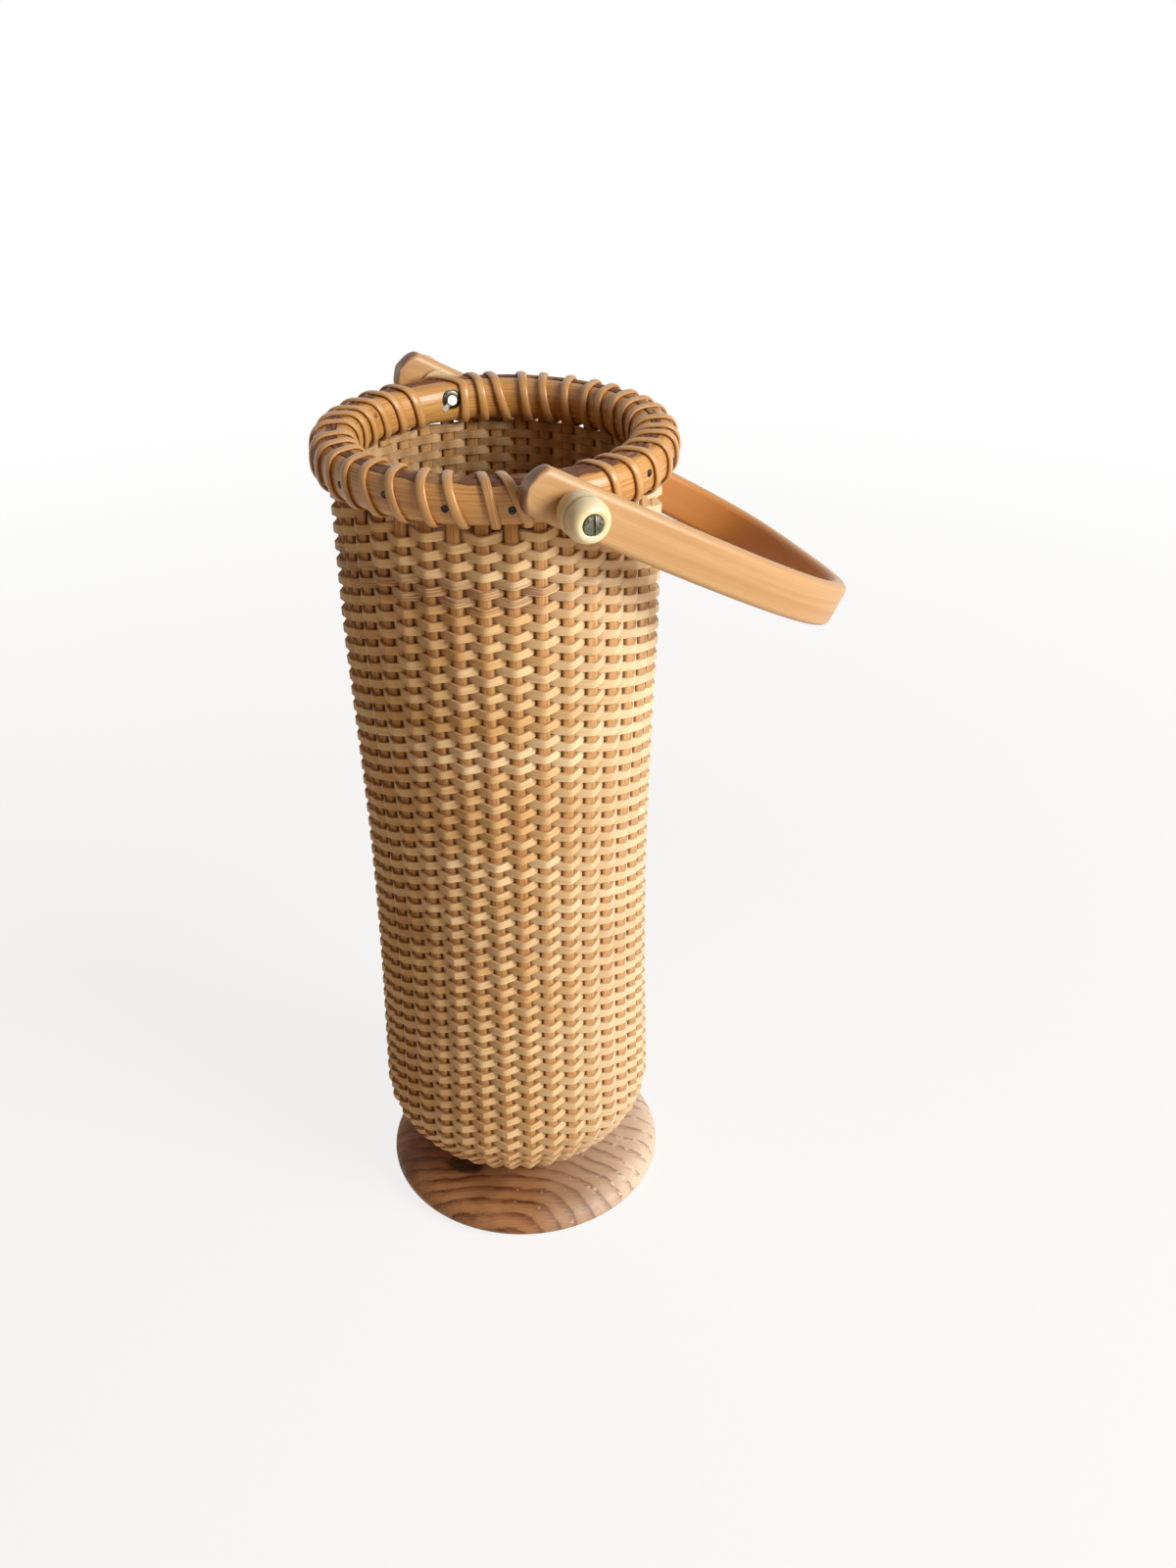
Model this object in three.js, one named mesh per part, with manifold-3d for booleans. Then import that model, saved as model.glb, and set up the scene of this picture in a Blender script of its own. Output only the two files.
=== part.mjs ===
// Woven bottle basket: reed staves in a woven wall on a turned wooden foot, a lashed double-hoop rim
// and a bent-wood handle that swings on two bone-knobbed screws.
// Millimetres, Z up. The origin is on the basket's axis at the floor. The handle pivots along Y and
// hangs out towards +X.
import * as THREE from 'three';
import { mergeVertices } from 'three/addons/utils/BufferGeometryUtils.js';
import Module from 'manifold-3d';

const wasm = await Module();
wasm.setup();

// Fits
const CLEARANCE = 0.3; // gap between pieces that touch

// Foot and base plug
const FOOT_RADIUS = 53.1;
const FOOT_THICKNESS = 11.4;
const FOOT_TOP_ROUND = 8; // how far in the bullnose starts on the top
const FOOT_UNDER_ROUND = 4.6;
const FOOT_OFF_CENTRE = 2.4; // the foot sits a little to the handle's side of the axis
const PLUG_RADIUS = 22.5;
const PLUG_UNDER = 5.3; // wood under the groove
const PLUG_LIP = 3; // wood over the groove
const GROOVE_DEPTH = 4.3;

// Foot screws
const FOOT_SCREW_OFFSET = 11; // each side of the axis
const FOOT_SCREW_RADIUS = 1.7;
const FOOT_SCREW_HEAD_RADIUS = 3.6;
const FOOT_SCREW_HEAD_DEPTH = 2.4;
const FOOT_SCREW_SUNK = 0.8; // head below the foot's underside
const FOOT_SCREW_BITE = 6; // length in the plug

// Staves and woven wall
const STAVE_COUNT = 37;
const STAVE_WIDTH = 4.4;
const STAVE_THICKNESS = 1.8;
const STAVE_CROWDING = 0.68; // widest share of the pitch a stave takes where the bottom closes in
const STAVE_PROUD = 0.8; // how far a stave stands out of the wall beside it
const WALL_BACKING = 1.6; // wall behind the staves
const WALL_START = 2; // first woven row, out from the plug
const BODY_RADIUS = 49.5; // over the staves, below the flare
const FLARE = 2.2; // how much wider the body is at the rim
const FLARE_FROM = 150;
const FLARE_TO = 240;
const BOTTOM_RISE = 27; // height of the rounded bottom

// Chinks of the weave between the staves, on a spiral like the weaver's own
const CHINK_TURNS = 11;
const CHINK_EVERY = 3; // gaps from one chink to the next
const CHINK_WIDTH = 2.2;
const CHINK_HEIGHT = 1.3;
const CHINK_ABOVE_BEND = 6.8; // lowest chink over the rounded bottom
const CHINK_BELOW_TOP = 13.5; // highest chink under the wall's top edge

// Rim
const RIM_HEIGHT = 298; // middle of the hoops above the floor
const HOOP_HEIGHT = 13.4;
const HOOP_THICKNESS = 5.7;
const HOOP_CROWN = 3.4; // flat part of a hoop's top and bottom, before its half-round face
const CAP_WIDTH = 7.2;
const CAP_THICKNESS = 1.8;

// Lashing
const LASH_WIDTH = 2.8;
const LASH_THICKNESS = 1.2;
const LASH_FLAT = 1.7; // flat part of the lashing's width
const LASH_SKIP = 3; // every third gap between staves is left free
const LASH_FIRST = 22; // gap where the first end is tucked in
const LASH_EASE = 4; // how late on each loop the lashing moves on to its next gap

// Rim nails
const NAIL_COUNT = 5;
const NAIL_FIRST = -2; // stave that the first nail holds, counted from the front pivot
const NAIL_EVERY = 8; // staves from one nail to the next
const NAIL_HEAD_RADIUS = 1.2;
const NAIL_HEAD_THICKNESS = 0.5;
const NAIL_RADIUS = 0.7;
const NAIL_LENGTH = 3.6;

// Handle and its pivots
const PIVOT_RISE = 1.8; // pivot above the middle of the rim
const HANDLE_REACH = 127.6; // pivot to the middle of the bow
const HANDLE_SQUARENESS = 3.3; // exponent of the bow's superellipse
const HANDLE_WIDTH = 15.3;
const HANDLE_THICKNESS = 6.4;
const HANDLE_EDGE = 1.2; // eased edges
const HANDLE_DROOP = 29.6; // degrees below level, as it rests
const EAR_REACH = 14.8; // pivot to the end of an ear
const EAR_ROUND = 4.3; // depth of an ear's rounded end
const WASHER_RADIUS = 6.5;
const WASHER_THICKNESS = 1.4;
const PIVOT_RADIUS = 1.6;
const PIVOT_HEAD_RADIUS = 3;
const PIVOT_HEAD_THICKNESS = 1.5;
const PIVOT_HEAD_ROUND = 0.6;
const PIVOT_HEAD_SUNK = 1; // seat below the knob's end
const PIVOT_SLOT_WIDTH = 0.9;
const PIVOT_SLOT_DEPTH = 0.8;
const KNOB_RADIUS = 6.8;
const KNOB_LENGTH = 15.5;
const KNOB_COLLAR = 9.4; // length under the groove
const KNOB_GROOVE_DEPTH = 0.7;
const KNOB_FOOT_RADIUS = 3; // where it stands on the handle
const KNOB_SWELL = 6.5; // length over which it swells from its foot
const KNOB_END_FLAT = 4.2; // radius of the flat end round the screw
const BURR_RADIUS = 3.2;
const BURR_THICKNESS = 1;
const BURR_SUNK = 0.4; // burr below the inner hoop's face

// Derived sizes
const PITCH = (2 * Math.PI) / STAVE_COUNT;
const HALF_STAVE = STAVE_THICKNESS / 2;
const PLUG_BOTTOM = FOOT_THICKNESS + CLEARANCE;
const GROOVE_HALF = HALF_STAVE + CLEARANCE;
const GROOVE_HEIGHT = PLUG_BOTTOM + PLUG_UNDER + GROOVE_HALF;
const PLUG_TOP = GROOVE_HEIGHT + GROOVE_HALF + PLUG_LIP;
const GROOVE_FLOOR = PLUG_RADIUS - GROOVE_DEPTH;
const BODY_MID = BODY_RADIUS - HALF_STAVE; // middle of the staves
const RIM_RADIUS = BODY_MID + FLARE;
const HOOP_GAP = HALF_STAVE + CLEARANCE; // from the middle of the staves to a hoop's flat
const HOOP_OUT = HOOP_GAP + HOOP_THICKNESS;
const HOOP_HALF = HOOP_HEIGHT / 2;
const LASH_LIFT = CLEARANCE + LASH_THICKNESS / 2; // middle of the lashing over the hoops
const WALL_TOP = RIM_HEIGHT - HOOP_HALF - LASH_THICKNESS - 2 * CLEARANCE;
const CHINK_FROM = GROOVE_HEIGHT + BOTTOM_RISE + CHINK_ABOVE_BEND;
const CHINK_TO = WALL_TOP - CHINK_BELOW_TOP;
const PIVOT_HEIGHT = RIM_HEIGHT + PIVOT_RISE;
const STAVE_TOP = PIVOT_HEIGHT - PIVOT_RADIUS - 2 * CLEARANCE;
const WASHER_FACE = RIM_RADIUS + HOOP_OUT + CLEARANCE;
const ARM_FACE = WASHER_FACE + WASHER_THICKNESS + CLEARANCE;
const ARM_MIDDLE = ARM_FACE + HANDLE_THICKNESS / 2;
const KNOB_FACE = ARM_FACE + HANDLE_THICKNESS + CLEARANCE;
const HEAD_SEAT = KNOB_FACE + KNOB_LENGTH - PIVOT_HEAD_SUNK;
const INNER_FACE = RIM_RADIUS - HOOP_OUT;
const BURR_SEAT = INNER_FACE + BURR_SUNK + BURR_THICKNESS;

const QUARTER = Math.PI / 2;
const FRONT = -QUARTER; // azimuth of the front pivot, in the middle of a gap between staves

// Facets of round shapes
const FOOT_SEGMENTS = 48;
const RIM_SEGMENTS = 48;
const KNOB_SEGMENTS = 20;
const PIVOT_SIDES = 16;
const SCREW_SIDES = 12;
const NAIL_SIDES = 10;
const BOTTOM_STEPS = 4;
const HANDLE_STEPS = 26;
const EAR_STEPS = 4;

// Materials, one for each kind of stuff
const finish = (color, roughness, metalness = 0) => () =>
  new THREE.MeshStandardMaterial({ color, roughness, metalness });
const turnedPine = finish(0xa8714a, 0.6);
const plugWood = finish(0xb98a5c, 0.7);
const reed = finish(0xc99a5b, 0.6);
const wovenCane = finish(0xddb57f, 0.55);
const hoopRattan = finish(0xd2a265, 0.45);
const darkCap = finish(0x5b3224, 0.75);
const lashingCane = finish(0xcf9650, 0.35);
const bentWood = finish(0xe0ae7c, 0.5);
const bone = finish(0xe6e0b4, 0.35);
const darkSteel = finish(0x6e6a52, 0.45, 0.9);
const brightSteel = finish(0xd8d4c8, 0.3, 1);
const nailSteel = finish(0x2f2a26, 0.6, 0.7);

const basket = new THREE.Group();

function addPiece(name, geometry, material, parent = basket) {
  const piece = new THREE.Mesh(geometry, material());
  piece.name = name;
  parent.add(piece);
  return piece;
}

// A closed mesh from points and triangles, turned so that its faces point out
function closedMesh(points, triangles) {
  const volume = triangles.reduce((sum, [a, b, c]) => {
    const cross = new THREE.Vector3().crossVectors(points[b], points[c]);
    return sum + points[a].dot(cross);
  }, 0);
  const faces = volume < 0 ? triangles.map(([a, b, c]) => [a, c, b]) : triangles;
  const geometry = new THREE.BufferGeometry().setFromPoints(points);
  geometry.setIndex(faces.flat());
  return geometry;
}

// A closed body through a row of rings of equal length, with a fan over each end
function loft(rings) {
  const size = rings[0].length;
  const triangles = [];
  for (let row = 0; row + 1 < rings.length; row += 1) {
    for (let i = 0; i < size; i += 1) {
      const next = (i + 1) % size;
      const low = row * size;
      const high = low + size;
      triangles.push([low + i, low + next, high + next], [low + i, high + next, high + i]);
    }
  }
  const last = (rings.length - 1) * size;
  for (let i = 1; i + 1 < size; i += 1) {
    triangles.push([0, i + 1, i], [last, last + i, last + i + 1]);
  }
  return closedMesh(rings.flat(), triangles);
}

// A turned body about Z from a profile of [radius, height] points
function turned(profile, segments) {
  const points = profile.map(([radius, height]) => new THREE.Vector2(radius, height));
  return new THREE.LatheGeometry(points, segments).rotateX(QUARTER);
}

// A ring about Z whose closed section is a list of [radius, height] points
function ring(section, segments) {
  return turned([...section, section[0]], segments);
}

// Points on an ellipse's arc, as [x, y]
function arc(x, y, across, up, from, to, steps) {
  return Array.from({ length: steps + 1 }, (_, i) => {
    const turn = from + ((to - from) * i) / steps;
    return [x + across * Math.cos(turn), y + up * Math.sin(turn)];
  });
}

// The circle round a polygon with so many sides that leaves the given radius free inside it
const roundHole = (radius, sides) => radius / Math.cos(Math.PI / sides);

function solidOf(geometry) {
  const bare = geometry.clone();
  bare.deleteAttribute('normal');
  bare.deleteAttribute('uv');
  const merged = mergeVertices(bare);
  const mesh = new wasm.Mesh({
    numProp: 3,
    vertProperties: new Float32Array(merged.attributes.position.array),
    triVerts: new Uint32Array(merged.index.array),
  });
  return new wasm.Manifold(mesh);
}

function cut(geometry, tools) {
  const left = tools.reduce((solid, tool) => solid.subtract(solidOf(tool)), solidOf(geometry));
  const mesh = left.getMesh();
  const result = new THREE.BufferGeometry();
  result.setAttribute('position', new THREE.BufferAttribute(new Float32Array(mesh.vertProperties), 3));
  result.setIndex(new THREE.BufferAttribute(new Uint32Array(mesh.triVerts), 1));
  return result;
}

// Body curve: the middle of a stave from the plug's groove to its top, as radius and height
function bodyCurve() {
  const sweep = BODY_MID - PLUG_RADIUS;
  const first = Math.asin(WALL_START / sweep);
  const curve = [];
  for (let step = 0; step <= BOTTOM_STEPS; step += 1) {
    const turn = first + ((QUARTER - first) * step) / BOTTOM_STEPS;
    const rise = BOTTOM_RISE * (1 - Math.cos(turn));
    curve.push(new THREE.Vector2(PLUG_RADIUS + sweep * Math.sin(turn), GROOVE_HEIGHT + rise));
  }
  curve.push(new THREE.Vector2(BODY_MID, FLARE_FROM), new THREE.Vector2(RIM_RADIUS, FLARE_TO));
  return curve;
}

// Each point of a curve with the direction square to it, on the outer side
function withNormals(curve) {
  return curve.map((point, i) => {
    const before = curve[Math.max(i - 1, 0)];
    const after = curve[Math.min(i + 1, curve.length - 1)];
    const along = after.clone().sub(before).normalize();
    return { point, out: new THREE.Vector2(along.y, -along.x) };
  });
}

const staveWidth = (radius) => Math.min(STAVE_WIDTH, STAVE_CROWDING * PITCH * radius);

// A point on a station of the curve: so far out of the middle, and so far along the rim
function onStation({ point, out }, offset, sideways) {
  return new THREE.Vector3(point.x + out.x * offset, sideways, point.y + out.y * offset);
}

const grooveEnd = new THREE.Vector2(GROOVE_FLOOR + CLEARANCE, GROOVE_HEIGHT);
const staveCurve = [grooveEnd, ...bodyCurve(), new THREE.Vector2(RIM_RADIUS, STAVE_TOP)];
const staveStations = withNormals(staveCurve);
const wallStations = [
  ...staveStations.slice(1, -1),
  { point: new THREE.Vector2(RIM_RADIUS, WALL_TOP), out: new THREE.Vector2(1, 0) },
];

const staveAngle = (index) => FRONT + (index + 0.5) * PITCH;
const gapAngle = (index) => FRONT + index * PITCH;

function staveGeometry() {
  return loft(
    staveStations.map((station) => {
      const half = staveWidth(station.point.x) / 2;
      return [
        onStation(station, HALF_STAVE, -half),
        onStation(station, HALF_STAVE, half),
        onStation(station, -HALF_STAVE, half),
        onStation(station, -HALF_STAVE, -half),
      ];
    }),
  );
}

// The woven wall: one shell with a slot for each stave, open to the outside
function wallGeometry() {
  const lip = HALF_STAVE - STAVE_PROUD;
  const floor = -HALF_STAVE - CLEARANCE;
  const back = floor - WALL_BACKING;
  const about = (point, angle) => point.applyAxisAngle(new THREE.Vector3(0, 0, 1), angle);
  const points = [];
  for (const station of wallStations) {
    const half = staveWidth(station.point.x) / 2 + CLEARANCE;
    for (let i = 0; i < STAVE_COUNT; i += 1) {
      const angle = staveAngle(i);
      points.push(about(onStation(station, lip, -half), angle));
      points.push(about(onStation(station, floor, -half), angle));
      points.push(about(onStation(station, floor, half), angle));
      points.push(about(onStation(station, lip, half), angle));
      points.push(about(onStation(station, back, 0), gapAngle(i)));
    }
  }
  const cell = 5; // points for each stave: four round its slot, then one on the inside
  const inside = cell - 1;
  const row = cell * STAVE_COUNT;
  const at = (level, stave, corner) => level * row + (stave % STAVE_COUNT) * cell + corner;
  const triangles = [];
  const quad = (a, b, c, d) => triangles.push([a, b, c], [a, c, d]);
  for (let level = 0; level + 1 < wallStations.length; level += 1) {
    for (let i = 0; i < STAVE_COUNT; i += 1) {
      const outside = [
        [i, 0],
        [i, 1],
        [i, 2],
        [i, 3],
        [i + 1, 0],
      ];
      for (let side = 0; side + 1 < outside.length; side += 1) {
        const a = outside[side];
        const b = outside[side + 1];
        quad(at(level, ...a), at(level, ...b), at(level + 1, ...b), at(level + 1, ...a));
      }
      const lower = [at(level, i + 1, inside), at(level, i, inside)];
      quad(...lower, at(level + 1, i, inside), at(level + 1, i + 1, inside));
    }
  }
  const endFace = (level, flip) => {
    for (let i = 0; i < STAVE_COUNT; i += 1) {
      const corner = (index) => at(level, i, index);
      const nextLip = at(level, i + 1, 0);
      const nextInside = at(level, i + 1, inside);
      const face = [
        [corner(inside), corner(0), corner(1)],
        [corner(inside), corner(1), corner(2)],
        [corner(inside), corner(2), nextInside],
        [nextInside, corner(2), corner(3)],
        [nextInside, corner(3), nextLip],
      ];
      triangles.push(...(flip ? face.map(([a, b, c]) => [a, c, b]) : face));
    }
  };
  endFace(0, true);
  endFace(wallStations.length - 1, false);
  return closedMesh(points, triangles);
}

// Bars that cut the chinks through the wall
function chinkBars() {
  const count = Math.floor((CHINK_TURNS * STAVE_COUNT) / CHINK_EVERY);
  const depth = 2 * (STAVE_THICKNESS + WALL_BACKING + FLARE);
  return Array.from({ length: count }, (_, i) => {
    const height = CHINK_FROM + ((CHINK_TO - CHINK_FROM) * i) / (count - 1);
    const bar = new THREE.BoxGeometry(depth, CHINK_WIDTH, CHINK_HEIGHT);
    return bar.translate(BODY_MID, 0, height).rotateZ(gapAngle(i * CHINK_EVERY));
  });
}

// Foot, plug and the screws between them
function footScrewProfile(extra) {
  const head = FOOT_SCREW_SUNK + FOOT_SCREW_HEAD_DEPTH;
  const tip = PLUG_BOTTOM + FOOT_SCREW_BITE;
  return [
    [0, FOOT_SCREW_SUNK - extra],
    [FOOT_SCREW_HEAD_RADIUS + extra, FOOT_SCREW_SUNK - extra],
    [FOOT_SCREW_RADIUS + extra, head],
    [FOOT_SCREW_RADIUS + extra, tip - FOOT_SCREW_RADIUS],
    [0, tip + extra],
  ];
}

const screwHole = roundHole(FOOT_SCREW_RADIUS + CLEARANCE, SCREW_SIDES) - FOOT_SCREW_RADIUS;

function screwCutters() {
  const through = turned(
    [
      [0, -CLEARANCE],
      [FOOT_SCREW_HEAD_RADIUS + screwHole, -CLEARANCE],
      [FOOT_SCREW_HEAD_RADIUS + screwHole, FOOT_SCREW_SUNK],
      [0, FOOT_SCREW_SUNK],
    ],
    SCREW_SIDES,
  );
  const body = turned(footScrewProfile(screwHole), SCREW_SIDES);
  return [-1, 1].flatMap((side) =>
    [through, body].map((tool) => tool.clone().translate(side * FOOT_SCREW_OFFSET, 0, 0)),
  );
}

function footGeometry() {
  const under = FOOT_UNDER_ROUND;
  const upper = FOOT_THICKNESS - under;
  const profile = [
    [0, 0],
    ...arc(FOOT_RADIUS - under, under, under, under, -QUARTER, 0, 2),
    ...arc(FOOT_RADIUS - FOOT_TOP_ROUND, under, FOOT_TOP_ROUND, upper, 0, QUARTER, 3).slice(1),
    [0, FOOT_THICKNESS],
  ];
  return cut(turned(profile, FOOT_SEGMENTS).translate(FOOT_OFF_CENTRE, 0, 0), screwCutters());
}

function plugGeometry() {
  const profile = [
    [0, PLUG_BOTTOM],
    [PLUG_RADIUS, PLUG_BOTTOM],
    [PLUG_RADIUS, GROOVE_HEIGHT - GROOVE_HALF],
    [GROOVE_FLOOR, GROOVE_HEIGHT - GROOVE_HALF],
    [GROOVE_FLOOR, GROOVE_HEIGHT + GROOVE_HALF],
    [PLUG_RADIUS, GROOVE_HEIGHT + GROOVE_HALF],
    [PLUG_RADIUS, PLUG_TOP],
    [0, PLUG_TOP],
  ];
  return cut(turned(profile, STAVE_COUNT), screwCutters());
}

// Rim section, out from the middle of the staves and up from the middle of the hoops
const crownEdge = HOOP_GAP + HOOP_CROWN;
const hoopRound = arc(crownEdge, 0, HOOP_OUT - crownEdge, HOOP_HALF, QUARTER, -QUARTER, 4);

function hoopSection(side) {
  const seat = HOOP_HALF - CAP_THICKNESS - CLEARANCE;
  const rebate = CAP_WIDTH / 2 + CLEARANCE;
  const section = [
    [HOOP_GAP, -HOOP_HALF],
    [HOOP_GAP, seat],
    [rebate, seat],
    [rebate, HOOP_HALF],
    ...hoopRound,
  ];
  return section.map(([out, up]) => [RIM_RADIUS + side * out, RIM_HEIGHT + up]);
}

// A short bar along Y at the pivot's height, between two distances from the axis
function pivotBar(radius, from, to, side) {
  const bar = turned(
    [
      [0, from],
      [radius, from],
      [radius, to],
      [0, to],
    ],
    PIVOT_SIDES,
  );
  return alongPivot(bar, side);
}

// Lays a body turned about Z along the pivot's line: -1 to the front, 1 to the back
function alongPivot(geometry, side) {
  return geometry.rotateX(-side * QUARTER).translate(0, 0, PIVOT_HEIGHT);
}

const pivotHole = roundHole(PIVOT_RADIUS + CLEARANCE, PIVOT_SIDES);
const burrHole = roundHole(BURR_RADIUS + CLEARANCE, PIVOT_SIDES);
const sides = { front: -1, back: 1 };

function nailProfile(extra) {
  const face = RIM_RADIUS + HOOP_OUT;
  const under = face - NAIL_HEAD_THICKNESS;
  return [
    [0, under - NAIL_LENGTH - extra],
    [NAIL_RADIUS + extra, under - NAIL_LENGTH - extra],
    [NAIL_RADIUS + extra, under - extra],
    [NAIL_HEAD_RADIUS + extra, under - extra],
    [NAIL_HEAD_RADIUS + extra, face + extra],
    [0, face + extra],
  ];
}

const nailHole = roundHole(NAIL_HEAD_RADIUS + CLEARANCE, NAIL_SIDES) - NAIL_HEAD_RADIUS;

// A nail through the outer hoop into a stave
function placedNail(index, extra) {
  const angle = staveAngle(NAIL_FIRST - index * NAIL_EVERY);
  const nail = turned(nailProfile(extra), NAIL_SIDES).rotateY(QUARTER);
  return nail.rotateZ(angle).translate(0, 0, RIM_HEIGHT);
}

function outerHoopGeometry() {
  const bores = Object.values(sides).map((side) =>
    pivotBar(pivotHole, RIM_RADIUS, WASHER_FACE + CLEARANCE, side),
  );
  const nails = Array.from({ length: NAIL_COUNT }, (_, i) => placedNail(i, nailHole));
  return cut(ring(hoopSection(1).reverse(), RIM_SEGMENTS), [...bores, ...nails]);
}

function innerHoopGeometry() {
  const bores = Object.values(sides).flatMap((side) => [
    pivotBar(pivotHole, INNER_FACE - BURR_THICKNESS, RIM_RADIUS, side),
    pivotBar(burrHole, INNER_FACE - BURR_THICKNESS, BURR_SEAT + CLEARANCE, side),
  ]);
  return cut(ring(hoopSection(-1), RIM_SEGMENTS), bores);
}

function capGeometry() {
  const top = RIM_HEIGHT + HOOP_HALF;
  const half = CAP_WIDTH / 2;
  const section = [
    [RIM_RADIUS - half, top - CAP_THICKNESS],
    [RIM_RADIUS + half, top - CAP_THICKNESS],
    [RIM_RADIUS + half, top],
    [RIM_RADIUS - half, top],
  ];
  return ring(section, RIM_SEGMENTS);
}

// A corner moved out from both of the straight runs that meet there
function liftedCorner(before, at, after, lift) {
  const square = (from, to) => new THREE.Vector2(from[1] - to[1], to[0] - from[0]).normalize();
  const first = square(before, at);
  const second = square(at, after);
  const out = first.clone().add(second).divideScalar(1 + first.dot(second));
  return { at: new THREE.Vector2(...at).addScaledVector(out, lift), out: out.normalize() };
}

// Lashing: the outline that it follows, from its crossing under the hoops, in, up, over, out and down
function lashOutline() {
  const crossing = [0, -HOOP_HALF];
  const top = [0, HOOP_HALF];
  const inside = hoopRound.map(([out, up]) => [-out, up]).reverse();
  const corners = [crossing, ...inside, top, ...hoopRound];
  return corners.map((corner, i) => {
    const before = corners[(i + corners.length - 1) % corners.length];
    const after = corners[(i + 1) % corners.length];
    return liftedCorner(before, corner, after, LASH_LIFT);
  });
}

// The gaps that the lashing passes through, in order round the rim from its first end
function lashGaps() {
  const half = (STAVE_COUNT - 1) / 2;
  const gaps = [];
  for (let i = 1; i < STAVE_COUNT; i += 1) {
    const gap = (LASH_FIRST + i) % STAVE_COUNT;
    const fromPivot = gap <= half ? gap : gap - half - 1;
    if (fromPivot % LASH_SKIP !== 0) {
      gaps.push(LASH_FIRST + i);
    }
  }
  return [LASH_FIRST, ...gaps];
}

function lashPath() {
  const outline = lashOutline();
  const gaps = lashGaps();
  const onRim = ({ at, out }, angle) => ({
    point: new THREE.Vector3(
      (RIM_RADIUS + at.x) * Math.cos(angle),
      (RIM_RADIUS + at.x) * Math.sin(angle),
      RIM_HEIGHT + at.y,
    ),
    out: new THREE.Vector3(out.x * Math.cos(angle), out.x * Math.sin(angle), out.y),
  });
  const path = [];
  for (let loop = 0; loop + 1 < gaps.length; loop += 1) {
    const from = gapAngle(gaps[loop]);
    const to = gapAngle(gaps[loop + 1]);
    outline.forEach((spot, i) => {
      const done = (i / outline.length) ** LASH_EASE;
      const left = (1 - i / outline.length) ** LASH_EASE;
      path.push(onRim(spot, from + ((to - from) * done) / (done + left)));
    });
  }
  const under = HOOP_HALF - CAP_THICKNESS - CLEARANCE;
  const tuck = (gap, inward) => {
    const out = new THREE.Vector2(inward, 0);
    const turn = { at: new THREE.Vector2(0, -HOOP_HALF - LASH_LIFT), out: new THREE.Vector2(inward, -1) };
    const straight = { at: new THREE.Vector2(0, under - LASH_WIDTH), out };
    const end = { at: new THREE.Vector2(0, under), out };
    return [end, straight, turn].map((spot) => onRim(spot, gapAngle(gap)));
  };
  const start = tuck(gaps[0], 1);
  const finishEnd = tuck(gaps[gaps.length - 1], -1).reverse();
  return [...start, ...path.slice(1), ...finishEnd];
}

function lashGeometry() {
  const path = lashPath();
  const wide = LASH_WIDTH / 2;
  const thick = LASH_THICKNESS / 2;
  const flat = LASH_FLAT / 2;
  const section = [
    [wide, 0],
    [flat, thick],
    [-flat, thick],
    [-wide, 0],
    [-flat, -thick],
    [flat, -thick],
  ];
  const rings = path.map(({ point, out }, i) => {
    const before = path[Math.max(i - 1, 0)].point;
    const after = path[Math.min(i + 1, path.length - 1)].point;
    const along = after.clone().sub(before).normalize();
    const normal = out.clone().addScaledVector(along, -out.dot(along)).normalize();
    const across = new THREE.Vector3().crossVectors(along, normal);
    return section.map(([side, up]) =>
      point.clone().addScaledVector(across, side).addScaledVector(normal, up),
    );
  });
  const loopLength = lashOutline().length;
  let least = Infinity;
  rings.forEach((ringPoints, i) => {
    for (let j = i + loopLength - 2; j < rings.length; j += 1) {
      for (const a of ringPoints) {
        for (const b of rings[j]) {
          least = Math.min(least, a.distanceTo(b));
        }
      }
    }
  });
  console.log(`rim lashing: ${lashGaps().length - 1} loops, least gap to itself ${least.toFixed(2)} mm`);
  return loft(rings);
}

// Handle: a band along a superellipse bow, with ears that run on past the pivots, level and pointing along +X
function handleGeometry() {
  const wide = HANDLE_WIDTH / 2;
  const thick = HANDLE_THICKNESS / 2;
  const ears = Array.from({ length: EAR_STEPS }, (_, i) => {
    const turn = (QUARTER * (i + 1)) / EAR_STEPS;
    const along = EAR_ROUND * (1 - Math.cos(turn)) - EAR_REACH;
    return { along, across: ARM_MIDDLE, half: wide * Math.sin(turn) };
  });
  const power = 2 / HANDLE_SQUARENESS;
  const bow = Array.from({ length: HANDLE_STEPS + 1 }, (_, i) => {
    const turn = (Math.PI * i) / HANDLE_STEPS;
    const cosine = Math.cos(turn);
    return {
      along: HANDLE_REACH * Math.abs(Math.sin(turn)) ** power,
      across: ARM_MIDDLE * Math.sign(cosine) * Math.abs(cosine) ** power,
      half: wide,
    };
  });
  const farEars = ears.map((ear) => ({ ...ear, across: -ear.across })).reverse();
  const line = [...ears, ...bow, ...farEars];
  const rings = line.map(({ along, across, half }, i) => {
    const before = line[Math.max(i - 1, 0)];
    const after = line[Math.min(i + 1, line.length - 1)];
    const direction = new THREE.Vector2(after.along - before.along, after.across - before.across).normalize();
    const out = new THREE.Vector2(-direction.y, direction.x);
    const section = [
      [half, thick - HANDLE_EDGE],
      [half - HANDLE_EDGE, thick],
      [HANDLE_EDGE - half, thick],
      [-half, thick - HANDLE_EDGE],
      [-half, HANDLE_EDGE - thick],
      [HANDLE_EDGE - half, -thick],
      [half - HANDLE_EDGE, -thick],
      [half, HANDLE_EDGE - thick],
    ];
    return section.map(
      ([up, outward]) => new THREE.Vector3(along + out.x * outward, across + out.y * outward, up),
    );
  });
  const bores = Object.values(sides).map((side) => {
    const reach = ARM_FACE - CLEARANCE;
    const bore = turned(
      [
        [0, reach],
        [pivotHole, reach],
        [pivotHole, KNOB_FACE],
        [0, KNOB_FACE],
      ],
      PIVOT_SIDES,
    );
    return bore.rotateX(-side * QUARTER);
  });
  return cut(loft(rings), bores);
}

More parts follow.
